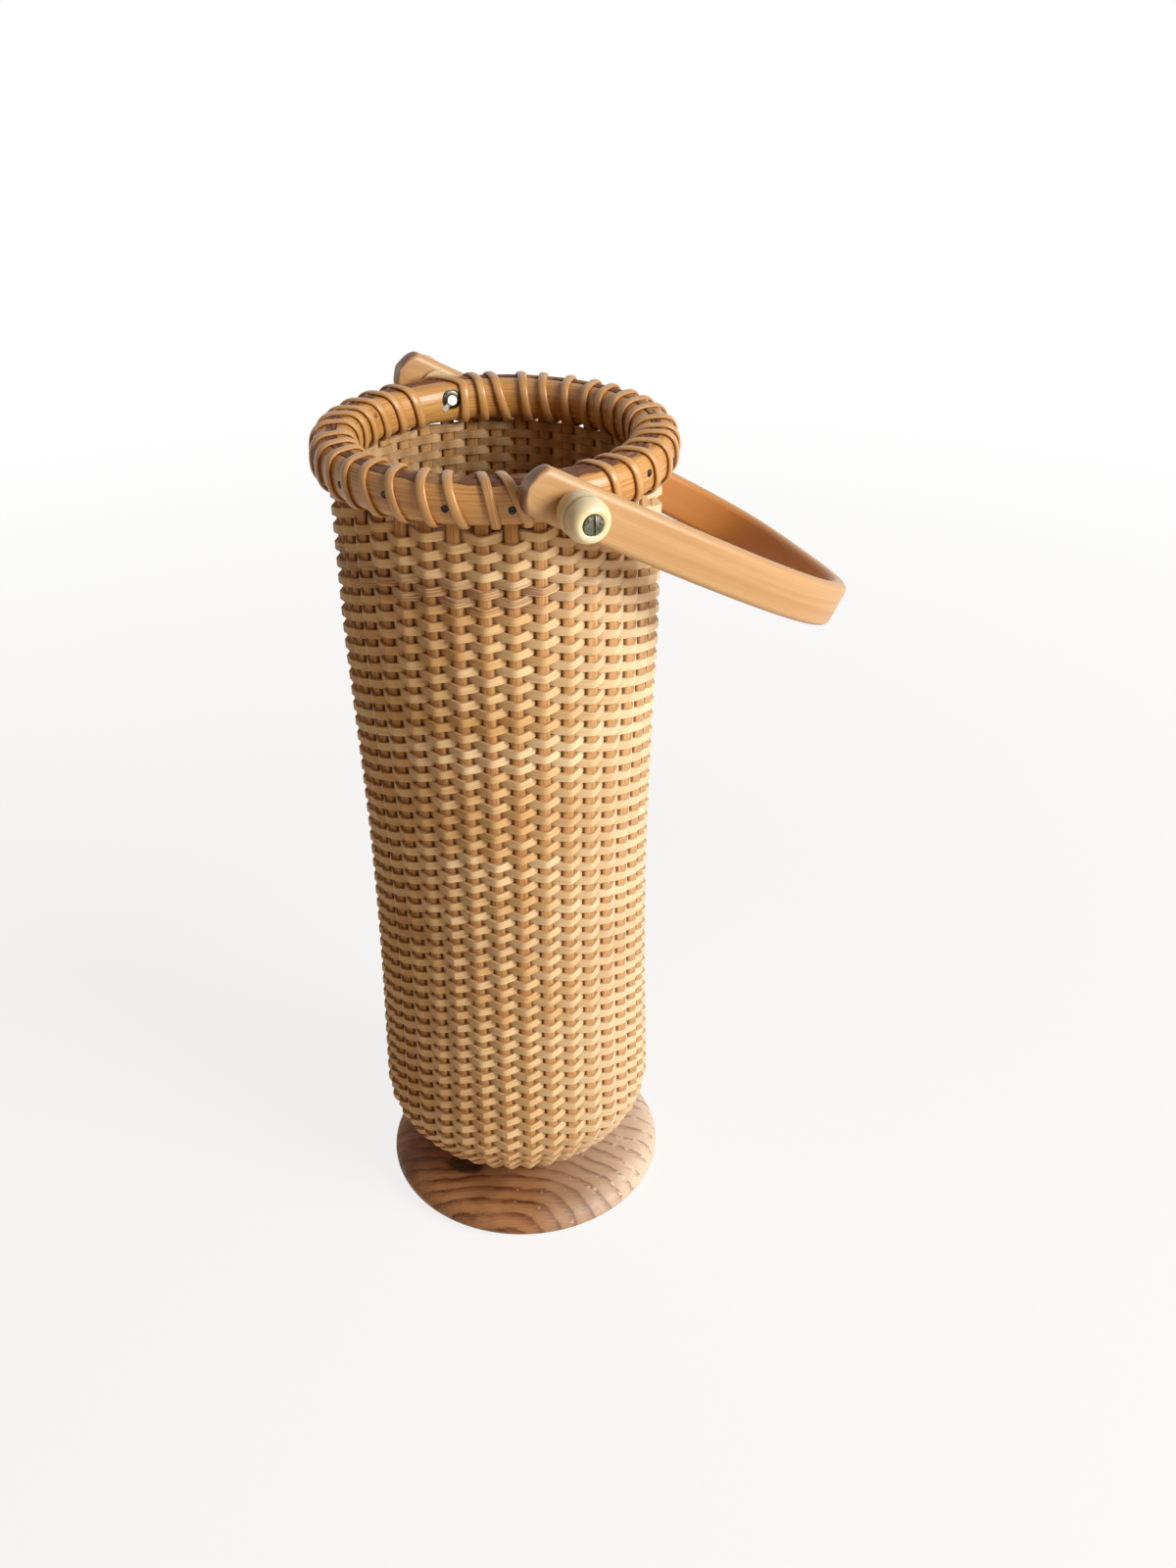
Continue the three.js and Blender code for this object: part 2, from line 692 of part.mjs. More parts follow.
// Knob: swelling foot, groove and dome, bored for the screw, with a seat for its head
function knobGeometry(side) {
  const seat = roundHole(PIVOT_HEAD_RADIUS + CLEARANCE, PIVOT_SIDES);
  const groove = KNOB_RADIUS - KNOB_GROOVE_DEPTH;
  const dome = KNOB_COLLAR + KNOB_GROOVE_DEPTH;
  const swell = KNOB_RADIUS - KNOB_FOOT_RADIUS;
  const profile = [
    [pivotHole, 0],
    ...arc(KNOB_FOOT_RADIUS, KNOB_SWELL, swell, KNOB_SWELL, -QUARTER, 0, 4),
    [KNOB_RADIUS, KNOB_COLLAR - KNOB_GROOVE_DEPTH],
    [groove, KNOB_COLLAR],
    ...arc(KNOB_END_FLAT, dome, KNOB_RADIUS - KNOB_END_FLAT, KNOB_LENGTH - dome, 0, QUARTER, 3),
    [seat, KNOB_LENGTH],
    [seat, KNOB_LENGTH - PIVOT_HEAD_SUNK],
    [pivotHole, KNOB_LENGTH - PIVOT_HEAD_SUNK],
  ];
  return alongPivot(ring(profile, KNOB_SEGMENTS).translate(0, 0, KNOB_FACE), side);
}

function pivotScrewGeometry(side) {
  const seat = HEAD_SEAT + CLEARANCE;
  const top = seat + PIVOT_HEAD_THICKNESS;
  const screw = turned(
    [
      [0, INNER_FACE],
      [PIVOT_RADIUS, INNER_FACE],
      [PIVOT_RADIUS, seat],
      [PIVOT_HEAD_RADIUS, seat],
      [PIVOT_HEAD_RADIUS, top - PIVOT_HEAD_ROUND],
      [PIVOT_HEAD_RADIUS - PIVOT_HEAD_ROUND, top],
      [0, top],
    ],
    PIVOT_SIDES,
  );
  const slot = new THREE.BoxGeometry(PIVOT_SLOT_WIDTH, 3 * PIVOT_HEAD_RADIUS, 2 * PIVOT_SLOT_DEPTH);
  return alongPivot(cut(screw, [slot.translate(0, 0, top)]), side);
}

function washerGeometry(radius, from, to, side) {
  const section = [
    [pivotHole, from],
    [radius, from],
    [radius, to],
    [pivotHole, to],
  ];
  return alongPivot(ring(section, PIVOT_SIDES), side);
}

addPiece('foot_disc', footGeometry(), turnedPine);
addPiece('base_plug', plugGeometry(), plugWood);
[-1, 1].forEach((side, i) => {
  const screw = turned(footScrewProfile(0), SCREW_SIDES).translate(side * FOOT_SCREW_OFFSET, 0, 0);
  addPiece(`foot_screw_${i + 1}`, screw, darkSteel);
});

for (let i = 0; i < STAVE_COUNT; i += 1) {
  const stave = addPiece(`stave_${String(i + 1).padStart(2, '0')}`, staveGeometry(), reed);
  stave.rotation.z = staveAngle(i);
}
addPiece('woven_wall', cut(wallGeometry(), chinkBars()), wovenCane);

addPiece('outer_rim_hoop', outerHoopGeometry(), hoopRattan);
addPiece('inner_rim_hoop', innerHoopGeometry(), hoopRattan);
addPiece('rim_cap_strip', capGeometry(), darkCap);
addPiece('rim_lashing', lashGeometry(), lashingCane);
for (let i = 0; i < NAIL_COUNT; i += 1) {
  addPiece(`rim_nail_${i + 1}`, placedNail(i, 0), nailSteel);
}

for (const [place, side] of Object.entries(sides)) {
  addPiece(`${place}_washer`, washerGeometry(WASHER_RADIUS, WASHER_FACE, ARM_FACE - CLEARANCE, side), bone);
  addPiece(`${place}_knob`, knobGeometry(side), bone);
  addPiece(`${place}_pivot_screw`, pivotScrewGeometry(side), darkSteel);
  const burr = washerGeometry(BURR_RADIUS, BURR_SEAT - BURR_THICKNESS, BURR_SEAT, side);
  addPiece(`${place}_burr`, burr, brightSteel);
}

const swing = new THREE.Group();
swing.position.z = PIVOT_HEIGHT;
swing.rotation.y = THREE.MathUtils.degToRad(HANDLE_DROOP);
basket.add(swing);
addPiece('bail_handle', handleGeometry(), bentWood, swing);

export default basket;
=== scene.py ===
import math
from functools import partial

import bmesh
import bpy
from mathutils import Matrix, Vector


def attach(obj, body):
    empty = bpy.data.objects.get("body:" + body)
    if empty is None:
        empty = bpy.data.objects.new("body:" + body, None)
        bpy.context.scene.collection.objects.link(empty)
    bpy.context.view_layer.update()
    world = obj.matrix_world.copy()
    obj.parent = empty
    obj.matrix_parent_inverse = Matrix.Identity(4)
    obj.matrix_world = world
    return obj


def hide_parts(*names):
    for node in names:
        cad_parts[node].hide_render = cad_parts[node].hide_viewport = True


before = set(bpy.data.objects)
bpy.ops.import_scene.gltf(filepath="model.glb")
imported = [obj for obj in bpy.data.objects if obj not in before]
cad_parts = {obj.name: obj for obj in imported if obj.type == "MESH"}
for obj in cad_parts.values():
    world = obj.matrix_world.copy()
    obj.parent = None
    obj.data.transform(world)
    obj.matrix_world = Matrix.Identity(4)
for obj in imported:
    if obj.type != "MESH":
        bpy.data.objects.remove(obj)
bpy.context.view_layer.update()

mm = 0.001
turn = 2 * math.pi

# Sizes in millimetres, in the CAD model's frame: the handle's pivots lie along Y and it hangs towards +X
basket = {
    "staves": 37, "rimRadius": 50.8, "rimHeight": 298.0, "pivotHeight": 299.8,
    # this level direction marks the side painted lighter, as if lit there; the foot's grain also runs along
    # it
    "paintedLitSide": (0.927, -0.375, 0.0),  # level direction of the side that stood in the light
}
stavePitch = turn / basket["staves"]
frontGap = -turn / 4  # azimuth of the front pivot, which goes through a gap between staves
firstStave = frontGap + stavePitch / 2


def srgb(code):
    parts = [int(code[i:i + 2], 16) / 255 for i in (1, 3, 5)]
    return tuple(c / 12.92 if c <= 0.04045 else ((c + 0.055) / 1.055) ** 2.4 for c in parts) + (1.0,)


# Adds a node; a kind in capitals is an operation of Math. Its inputs are a list, for the sockets in use, or a
# dictionary by name, of values, sockets or nodes; a node stands for its first output in use
def addNode(tree, kind, inputs=(), operation=None, stops=(), **settings):
    if kind.isupper():
        kind, operation = "Math", kind
    families = ("ShaderNode", "GeometryNode", "FunctionNode", "Node")
    node = tree.nodes.new(next(family + kind for family in families if hasattr(bpy.types, family + kind)))
    if operation:
        node.operation = operation
    for name, value in settings.items():
        setattr(node, name, value)
    if isinstance(inputs, dict):
        pairs = [(node.inputs[name], value) for name, value in inputs.items()]
    else:
        pairs = list(zip([socket for socket in node.inputs if socket.enabled], inputs))
    for socket, value in pairs:
        if isinstance(value, bpy.types.Node):
            value = next(output for output in value.outputs if output.enabled)
        if isinstance(value, bpy.types.NodeSocket):
            tree.links.new(value, socket)
        else:
            socket.default_value = value
    if stops:
        elements = node.color_ramp.elements
        while len(elements) < len(stops):
            elements.new(1.0)
        for element, (place, code) in zip(elements, stops):
            element.position = place
            element.color = srgb(code)
    return node


def startMaterial(name):
    material = bpy.data.materials.new(name)
    material.use_nodes = True
    material.node_tree.nodes.clear()
    return material, partial(addNode, material.node_tree)


# The shader with all its sockets, and relief from a height, as deep as given in metres
def endMaterial(material, colour, sockets, height=None, strength=0.0, depth=0.0):
    add = partial(addNode, material.node_tree)
    shader = add("BsdfPrincipled", {"Base Color": colour, **sockets})
    if height is not None:
        bump = add("Bump", {"Strength": strength, "Distance": depth, "Height": height})
        material.node_tree.links.new(bump.outputs[0], shader.inputs["Normal"])
    add("OutputMaterial", {"Surface": shader})
    return material


# Lays a tint over a colour; its share changes while the value goes through the span
def tinted(add, colour, tint, value, span, shares):
    share = add("MapRange", [value, *span, *shares])
    return add("Mix", [share, colour, srgb(tint)], data_type="RGBA")


# Noise drawn out along the first axis, with cells of a real length and width in metres
def grainNoise(add, place, length, width, detail, roughness=0.5, distortion=0.0,
               turned=(0, 0, 0), moved=(0, 0, 0)):
    drawn = add("Mapping", {
        "Vector": place, "Location": moved, "Rotation": turned, "Scale": (1 / length, 1 / width, 1 / width)})
    return add("TexNoise", {
        "Vector": drawn, "Scale": 1.0, "Detail": detail, "Roughness": roughness, "Distortion": distortion})


# Split cane, peeled and woven damp: satin, with fine fibres along its length, each length of its own tone
def makeWeaverCane():
    material, add = startMaterial("peeled cane, woven")
    tone, run, across, lift = [add("Attribute", attribute_name=label).outputs["Fac"]
                               for label in ("caneTone", "caneRun", "caneAcross", "caneLift")]
    place = add("TexCoord").outputs["Object"]

    # fibres 0.4 mm wide and about 20 mm long
    fibreSteps = [add("MULTIPLY", [value, rate])
                  for value, rate in ((run, 1 / 0.020), (across, 3.4), (tone, 57.0))]
    fibrePlace = add("CombineXYZ", fibreSteps)
    fibre = add("TexNoise", [fibrePlace, 1.0, 4.0, 0.6])
    base = add("ValToRGB", [tone], stops=[
        (0.0, "#DAB076"), (0.25, "#E2BD87"), (0.5, "#EACB9B"), (0.75, "#E3C08B"), (1.0, "#EFD4A7")])
    darker = add("Mix", [0.55, base, srgb("#B98748")], data_type="RGBA", blend_type="MULTIPLY")
    fibreShare = add("MapRange", [fibre, 0.36, 0.62, 0.6, 0.0])
    colour = add("Mix", [fibreShare, base, darker], data_type="RGBA")

    # painted shade: darker along its edges, where the rows meet, and darker brown where it passes inside a
    # stave, behind the wall
    edge = add("ABSOLUTE", [across])
    colour = tinted(add, colour, "#96602A", edge, (0.9, 1.0), (0.0, 0.4))
    colour = tinted(add, colour, "#7A430E", lift, (-0.75, -0.2), (0.38, 0.0))

    # brown patches 25 mm across
    patch = add("TexNoise", [place, 1 / 0.025, 2.0])
    colour = tinted(add, colour, "#B88244", patch, (0.5, 0.72), (0.0, 0.42))

    # two stained bands of rows, at a height in metres, strongest at the front left
    height = add("SeparateXYZ", [place]).outputs["Z"]
    side = add("VectorMath", [place, (-13.0, -15.0, 0.0)], "DOT_PRODUCT")
    onSide = add("MapRange", [side, 0.0, 0.9, 0.35, 1.0])
    stainNoise = add("TexNoise", [fibrePlace, 1.7, 2.0])
    blotchy = add("MapRange", [stainNoise, 0.38, 0.6, 0.0, 1.0])
    bands = []
    for middle, half, amount in ((0.2675, 0.0062, 0.8), (0.134, 0.005, 0.34)):
        away = add("ABSOLUTE", [add("SUBTRACT", [height, middle])])
        bands.append(add("MapRange", [away, half * 0.5, half, amount, 0.0]))
    stain = add("ADD", bands)
    for share in (onSide, blotchy):
        stain = add("MULTIPLY", [stain, share])
    colour = add("Mix", [stain, colour, srgb("#85503A")], data_type="RGBA")

    # painted light: paler outside on one side, as if lit there
    paintedLight = add("VectorMath", [place, basket["paintedLitSide"]], "DOT_PRODUCT")
    paintedLightOutside = add("MapRange", [lift, -0.5, 0.0, 0.0, 0.46])
    colour = tinted(add, colour, "#F6E6C6", paintedLight, (0.008, 0.046), (0.0, paintedLightOutside))
    rough = add("MapRange", [fibre, 0.3, 0.7, 0.56, 0.38])
    return endMaterial(material, colour, {
        "Roughness": rough, "IOR": 1.42, "Specular IOR Level": 0.3,
        "Sheen Weight": 0.15, "Sheen Roughness": 0.5}, fibre, 0.35, 0.00012)


# Flat reed staves: browner than the cane, matt, with fine straight lines up their length
def makeReed():
    material, add = startMaterial("flat reed, split")
    grain = add("UVMap", uv_map="grain")
    tone, edge = [add("Attribute", attribute_name=label).outputs["Fac"]
                  for label in ("staveTone", "staveEdge")]
    # lines 0.35 mm apart, drawn 60 mm long, other ones on each stave
    shift = add("CombineXYZ", {"Z": add("MULTIPLY", [tone, 90.0])})
    lines = grainNoise(add, grain, 0.060, 0.00035, 3.0, 0.65, moved=shift)
    colour = add("ValToRGB", [lines], stops=[
        (0.3, "#946434"), (0.45, "#BE8E56"), (0.6, "#D4A66E"), (0.8, "#E0B882")])
    colour = tinted(add, colour, "#B47C42", tone, (0.0, 1.0), (0.0, 0.5))
    # painted shade along its edges, beside the weave, and painted light: one side paler, as if lit there
    colour = tinted(add, colour, "#4A260C", edge, (0.68, 0.9), (0.0, 0.85))
    paintedLight = add("VectorMath", [add("TexCoord").outputs["Object"], basket["paintedLitSide"]], "DOT_PRODUCT")
    colour = tinted(add, colour, "#E8CDA0", paintedLight, (0.008, 0.046), (0.0, 0.15))
    return endMaterial(material, colour, {
        "Roughness": 0.58, "IOR": 1.5, "Specular IOR Level": 0.25}, lines, 0.4, 0.00012)


# Split rattan, bent half-round and varnished: pale straw with long straight streaks and a soft shine
def makeHoopRattan():
    material, add = startMaterial("half-round rattan, varnished")
    grain = add("UVMap", uv_map="grain")
    # streaks 0.7 mm wide and 45 mm long, with broad bands 5 mm wide under them
    streaks = grainNoise(add, grain, 0.045, 0.0007, 4.0, 0.62)
    broad = grainNoise(add, grain, 0.030, 0.005, 2.0)
    colour = add("ValToRGB", [streaks], stops=[
        (0.28, "#98602A"), (0.42, "#C48842"), (0.58, "#D8A258"), (0.78, "#E6BC74")])
    colour = tinted(add, colour, "#B07A42", broad, (0.45, 0.75), (0.0, 0.55))
    # a brown pin mark, 2 mm across, on the inside at the back left
    fromPin = add("VectorMath", [add("TexCoord").outputs["Object"], (-0.0297, 0.0329, 0.3013)], "DISTANCE")
    colour = tinted(add, colour, "#54301A", fromPin, (0.0006, 0.0012), (0.8, 0.0))
    return endMaterial(material, colour, {
        "Roughness": 0.38, "IOR": 1.5, "Coat Weight": 0.25, "Coat Roughness": 0.22},
        streaks, 0.3, 0.00015)


# Lashing cane with its skin left on: orange tan and glossy, with painted shade on its rounded edges, so its
# crown looks paler
def makeLashingCane():
    material, add = startMaterial("binding cane, skin on")
    run, across, tone = [add("Attribute", attribute_name=label).outputs["Fac"]
                         for label in ("caneRun", "caneAcross", "caneTone")]
    # streaks a quarter of its width and 15 mm long
    runSteps = add("MULTIPLY", [run, 1 / 0.015])
    acrossSteps = add("MULTIPLY", [across, 4.0])
    streakPlace = add("CombineXYZ", [runSteps, acrossSteps, 3.0])
    streaks = add("TexNoise", [streakPlace, 1.0, 3.0])
    colour = add("ValToRGB", [streaks], stops=[(0.3, "#A86E34"), (0.5, "#CE9654"), (0.7, "#E0B072")])
    # painted shade: darker towards its rounded edges
    edge = add("ABSOLUTE", [across])
    colour = tinted(add, colour, "#97602A", edge, (0.55, 1.0), (0.0, 0.6))
    colour = tinted(add, colour, "#DEAE6C", tone, (0.0, 1.0), (0.0, 0.45))
    return endMaterial(material, colour, {
        "Roughness": 0.36, "IOR": 1.5, "Coat Weight": 0.2, "Coat Roughness": 0.2},
        streaks, 0.2, 0.0001)


# Dark bark strip laid between the hoops: matt red-brown with paler patches
def makeBark():
    material, add = startMaterial("bark strip, dried")
    # fissures 0.8 mm wide and 9 mm long; patches 14 mm across
    fissure = grainNoise(add, add("UVMap", uv_map="grain"), 0.009, 0.0008, 5.0, 0.7)
    patch = add("TexNoise", [add("TexCoord").outputs["Object"], 1 / 0.014, 3.0])
    colour = add("ValToRGB", [fissure], stops=[
        (0.3, "#3C2012"), (0.46, "#683C24"), (0.6, "#885634"), (0.8, "#B4875A")])
    colour = tinted(add, colour, "#BE9262", patch, (0.49, 0.58), (0.0, 0.8))
    return endMaterial(material, colour, {"Roughness": 0.72, "IOR": 1.5}, fissure, 0.8, 0.0004)


# Bent hardwood, sanded and oiled: close grain along the bow, short dark pores, painted warm shade on the
# bow's inner face, dark end grain
def makeBentWood():
    material, add = startMaterial("cherry, steam-bent and oiled")
    grain = add("UVMap", uv_map="grain")
    endGrain, paintedShadeInBow = [add("Attribute", attribute_name=label).outputs["Fac"]
                           for label in ("endGrain", "paintedShadeInBow")]
    # growth bands 3 mm apart that slant out of the edge, streaks 0.5 mm, pores 0.4 by 2.5 mm
    bands = grainNoise(add, grain, 0.110, 0.0032, 2.0, distortion=0.4, turned=(0, 0, math.radians(2.2)))
    streaks = grainNoise(add, grain, 0.035, 0.0005, 3.0)
    pores = grainNoise(add, grain, 0.0025, 0.0004, 1.0)
    colour = add("ValToRGB", [bands], stops=[
        (0.3, "#C2925E"), (0.48, "#C99C68"), (0.62, "#CDA270"), (0.8, "#C49460")])
    colour = tinted(add, colour, "#B07C4A", streaks, (0.5, 0.75), (0.0, 0.25))
    colour = tinted(add, colour, "#A5693C", pores, (0.68, 0.76), (0.0, 0.35))
    # painted shade with warm bounced light: redder on the bow's inner face
    colour = tinted(add, colour, "#CF7F30", paintedShadeInBow, (0.0, 1.0), (0.0, 0.7))
    colour = add("Mix", [endGrain, colour, srgb("#7E4828")], data_type="RGBA")
    return endMaterial(material, colour, {
        "Roughness": 0.42, "IOR": 1.5, "Coat Weight": 0.12, "Coat Roughness": 0.3},
        streaks, 0.15, 0.0001)


# Flat-sawn pine, turned and waxed: reddish early wood between thin dark rings; paler on one side, painted as
# if lit there, and worn
def makeTurnedPine(name, ringGap, early, middle, late, paleWearAndLight):
    material, add = startMaterial(name)
    place = add("TexCoord").outputs["Object"]
    # flat-sawn figure: nested arches round a place under the front edge, drawn out to the left
    along = add("VectorMath", [place, basket["paintedLitSide"]], "DOT_PRODUCT")
    across = add("VectorMath", [place, (0.375, 0.927, 0.0)], "DOT_PRODUCT")
    height = add("SeparateXYZ", [place]).outputs["Z"]
    rightward = add("SUBTRACT", [along, -0.0050])
    backward = add("SUBTRACT", [across, -0.0520])
    rightPart = add("MAXIMUM", [rightward, 0.0])
    leftPart = add("MINIMUM", [rightward, 0.0])
    drawnOut = add("MULTIPLY_ADD", [leftPart, 0.5, rightPart])
    figure = add("CombineXYZ", [add("MULTIPLY", [drawnOut, 0.68]), backward, height])
    sway = add("TexNoise", [place, 1 / 0.026, 4.0, 0.45])
    swayOff = add("VectorMath", [sway.outputs["Color"], (0.5, 0.5, 0.5)], "SUBTRACT")
    swayed = add("VectorMath", [figure, add("VectorMath", [swayOff, 0.009], "SCALE")], "ADD")
    rings = add("TexWave", {"Vector": swayed, "Scale": turn / 20 / ringGap},
                wave_type="RINGS", rings_direction="SPHERICAL", wave_profile="SAW")
    # fibres 0.7 mm wide and 25 mm long
    fibre = grainNoise(add, add("CombineXYZ", [along, across, height]), 0.025, 0.0007, 3.0)
    fibreShift = add("MapRange", [fibre, 0.3, 0.7, -0.13, 0.13])
    ringTone = add("ADD", [rings, fibreShift])
    colour = add("ValToRGB", [ringTone], stops=[
        (0.0, middle), (0.08, early), (0.45, early), (0.8, middle),
        (0.93, late), (0.97, late), (1.0, middle)])
    # rings fade in and out over 12 mm, under blotches of old wax 18 mm across
    fade = add("TexNoise", [place, 1 / 0.012, 2.0])
    blotch = add("TexNoise", [place, 1 / 0.018, 3.0])
    colour = tinted(add, colour, early, fade, (0.42, 0.62), (0.0, 0.55))
    colour = tinted(add, colour, middle, fibre, (0.45, 0.75), (0.0, 0.4))
    colour = tinted(add, colour, late, blotch, (0.45, 0.7), (0.0, 0.5))
    # painted light and wear: a broad wash paler towards the lit side, least on the dark rings, which are
    # rubbed in flecks 4.5 mm across
    side = add("MapRange", [along, 0.006, 0.050, 0.0, 1.0])
    paintedLightWash = add("MapRange", [ringTone, 0.6, 0.9, 0.78, 0.42])
    colour = add("Mix", [add("MULTIPLY", [side, paintedLightWash]), colour, srgb(paleWearAndLight)], data_type="RGBA")
    scuff = add("TexNoise", [place, 1 / 0.0045, 6.0, 0.7])
    scuffLevel = add("MapRange", [side, 0.0, 1.0, 0.66, 0.5])
    scuffOver = add("SUBTRACT", [scuff, scuffLevel])
    lateness = add("MapRange", [ringTone, 0.5, 0.85, 0.15, 0.8])
    colour = tinted(add, colour, paleWearAndLight, scuffOver, (0.0, 0.04), (0.0, lateness))
    # one dark stain, 20 by 9 mm, in front of the basket
    stainPlace = add("Mapping", {
        "Vector": place, "Location": (-0.0285, -0.0140, 0.0114), "Rotation": (0, 0, math.radians(-42)),
        "Scale": (0.010, 0.0045, 0.02)}, vector_type="TEXTURE")
    stainEdge = add("ADD", [add("VectorMath", [stainPlace], "LENGTH"), scuff])
    colour = tinted(add, colour, "#2E160A", stainEdge, (1.1, 1.5), (0.85, 0.0))
    rough = add("MapRange", [scuff, 0.4, 0.65, 0.4, 0.68])
    return endMaterial(material, colour, {
        "Roughness": rough, "IOR": 1.45, "Specular IOR Level": 0.35}, ringTone, 0.3, 0.0002)


# Turned bone: cream and polished, cloudy, with amber wax left in its groove
def makeBone():
    material, add = startMaterial("bone, turned and polished")
    place = add("TexCoord").outputs["Object"]
    # clouds 7 mm across
    cloud = add("TexNoise", [place, 1 / 0.007, 2.0])
    colour = add("ValToRGB", [cloud], stops=[(0.3, "#E4CE98"), (0.5, "#EEDDAE"), (0.7, "#F3E6BE")])
    # the groove is 75.8 mm from the basket's axis; the root of the knob is darker too
    out = add("ABSOLUTE", [add("SeparateXYZ", [place]).outputs["Y"]])
    groove = add("ABSOLUTE", [add("SUBTRACT", [out, 0.0758])])
    colour = tinted(add, colour, "#C69A48", groove, (0.0003, 0.0011), (0.8, 0.0))
    colour = tinted(add, colour, "#B99A62", out, (0.0664, 0.0690), (0.5, 0.0))
    return endMaterial(material, colour, {
        "Roughness": 0.28, "IOR": 1.54, "Subsurface Weight": 0.12, "Subsurface Scale": 0.002,
        "Coat Weight": 0.2, "Coat Roughness": 0.12})


# Steel, turned and aged: dark skin with bright rubbed scratches
def makeAgedSteel(name, dark, bright, roughness, metallic):
    material, add = startMaterial(name)
    place = add("TexCoord").outputs["Object"]
    # mottling 0.9 mm across, scratches 0.15 mm wide
    mottle = add("TexNoise", [place, 1 / 0.0009, 4.0, 0.65])
    scratch = grainNoise(add, place, 0.00015, 0.002, 2.0, turned=(0.4, 0.7, 0.0))
    both = add("MULTIPLY", [add("ADD", [mottle, scratch]), 0.5])
    colour = add("ValToRGB", [both], stops=[(0.38, dark), (0.62, bright)])
    return endMaterial(material, colour, {"Metallic": metallic, "Roughness": roughness},
                       mottle, 0.25, 0.0001)


weaverCane = makeWeaverCane()
reed = makeReed()
hoopRattan = makeHoopRattan()
lashingCane = makeLashingCane()
bark = makeBark()
bentWood = makeBentWood()
footPine = makeTurnedPine("pine, turned and waxed", 0.0052, "#B48055", "#8C5834", "#552E18", "#F6E0C8")
plugPine = makeTurnedPine("pine offcut, turned", 0.0040, "#D2AE80", "#BE9262", "#94683E", "#E2C8A4")
bone = makeBone()
darkSteel = makeAgedSteel("steel, slotted and aged", "#3F3B30", "#8E8A78", 0.42, 1.0)
brightSteel = makeAgedSteel("steel, sawn bright", "#C9C4B4", "#E4E0D4", 0.45, 0.4)
nailIron = makeAgedSteel("iron nail, blackened", "#1C1916", "#4A443C", 0.55, 1.0)
print("materials made:", len(bpy.data.materials))


def clamped(value):
    return max(0.0, min(1.0, value))


# A point on a squared circle: 2 is round, more is squarer
def squaredRound(angle, squareness):
    return [math.copysign(abs(part) ** (2 / squareness), part) for part in (math.cos(angle), math.sin(angle))]


def aroundZ(r, angle, z):
    return Vector((r * math.cos(angle), r * math.sin(angle), z)) * mm


def arc(x, y, across, up, start, end, steps):
    angles = [math.radians(start + (end - start) * i / steps) for i in range(steps + 1)]
    return [(x + across * math.cos(a), y + up * math.sin(a)) for a in angles]


def newPiece(name, data, materials=()):
    piece = bpy.data.objects.new(name, data)
    bpy.context.scene.collection.objects.link(piece)
    for material in materials:
        data.materials.append(material)
    return piece


# A finished piece moves with a CAD body and stands for the named nodes
def fitPiece(piece, carrier, slotName, *nodes):
    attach(piece, carrier)
    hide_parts(*nodes)


# A mesh through rings of points; its UV map holds metres along the rings' line and round each ring
def sweptMesh(name, rings, joined=False, closedRing=True):
    size = len(rings[0])
    count = len(rings)
    centres = [sum(ring, Vector()) / size for ring in rings]
    along = [0.0]
    for i in range(count):
        along.append(along[-1] + max((rings[(i + 1) % count][j] - rings[i][j]).length for j in range(size)))
    widest = max(rings, key=lambda ring: sum((a - b).length for a, b in zip(ring, ring[1:])))
    around = [0.0]
    for j in range(size):
        around.append(around[-1] + (widest[(j + 1) % size] - widest[j]).length)
    faces = []
    places = []
    for i in range(count if joined else count - 1):
        for j in range(size if closedRing else size - 1):
            k, n = (i + 1) % count, (j + 1) % size
            faces.append((i * size + j, i * size + n, k * size + n, k * size + j))
            places += [(along[i], around[j]), (along[i], around[j + 1]),
                       (along[i + 1], around[j + 1]), (along[i + 1], around[j])]
    if not joined:
        for i in (0, count - 1):
            faces.append(tuple(range(i * size, i * size + size)))
            places += [(along[i] + (p - centres[i]).length, around[j]) for j, p in enumerate(rings[i])]
    mesh = bpy.data.meshes.new(name)
    mesh.from_pydata([p for ring in rings for p in ring], [], faces)
    layer = mesh.uv_layers.new(name="grain")
    layer.data.foreach_set("uv", [x for place in places for x in place])
    shape = bmesh.new()
    shape.from_mesh(mesh)
    bmesh.ops.remove_doubles(shape, verts=shape.verts, dist=1e-7)
    bmesh.ops.recalc_face_normals(shape, faces=shape.faces)
    for face in shape.faces:
        face.smooth = True
    shape.to_mesh(mesh)
    shape.free()
    return mesh


# A turned mesh about Z from (radius, height) points in millimetres
def turnedMesh(name, profile, segments, closedRing=False):
    rings = [[aroundZ(r, turn * i / segments, z) for r, z in profile] for i in range(segments)]
    return sweptMesh(name, rings, joined=True, closedRing=closedRing)


def markPoints(mesh, label, values):
    mesh.attributes.new(label, "FLOAT", "POINT").data.foreach_set("value", values)


# Corners over 50 degrees stay crisp, the rest shades smoothly
def crisp(mesh):
    shape = bmesh.new()
    shape.from_mesh(mesh)
    for edge in shape.edges:
        edge.smooth = edge.calc_face_angle(0.0) < math.radians(50)
    shape.to_mesh(mesh)
    shape.free()


def plainMesh(piece):
    graph = bpy.context.evaluated_depsgraph_get()
    finished = piece.evaluated_get(graph)
    return bpy.data.meshes.new_from_object(finished, preserve_all_data_layers=True, depsgraph=graph)


def cutAway(piece, cutters):
    for cutter in cutters:
        cutting = piece.modifiers.new("cut", "BOOLEAN")
        cutting.object = cutter
        cutting.operation = "DIFFERENCE"
        cutting.solver = "EXACT"
    mesh = plainMesh(piece)
    piece.modifiers.clear()
    piece.data = mesh
    for cutter in cutters:
        bpy.data.objects.remove(cutter)


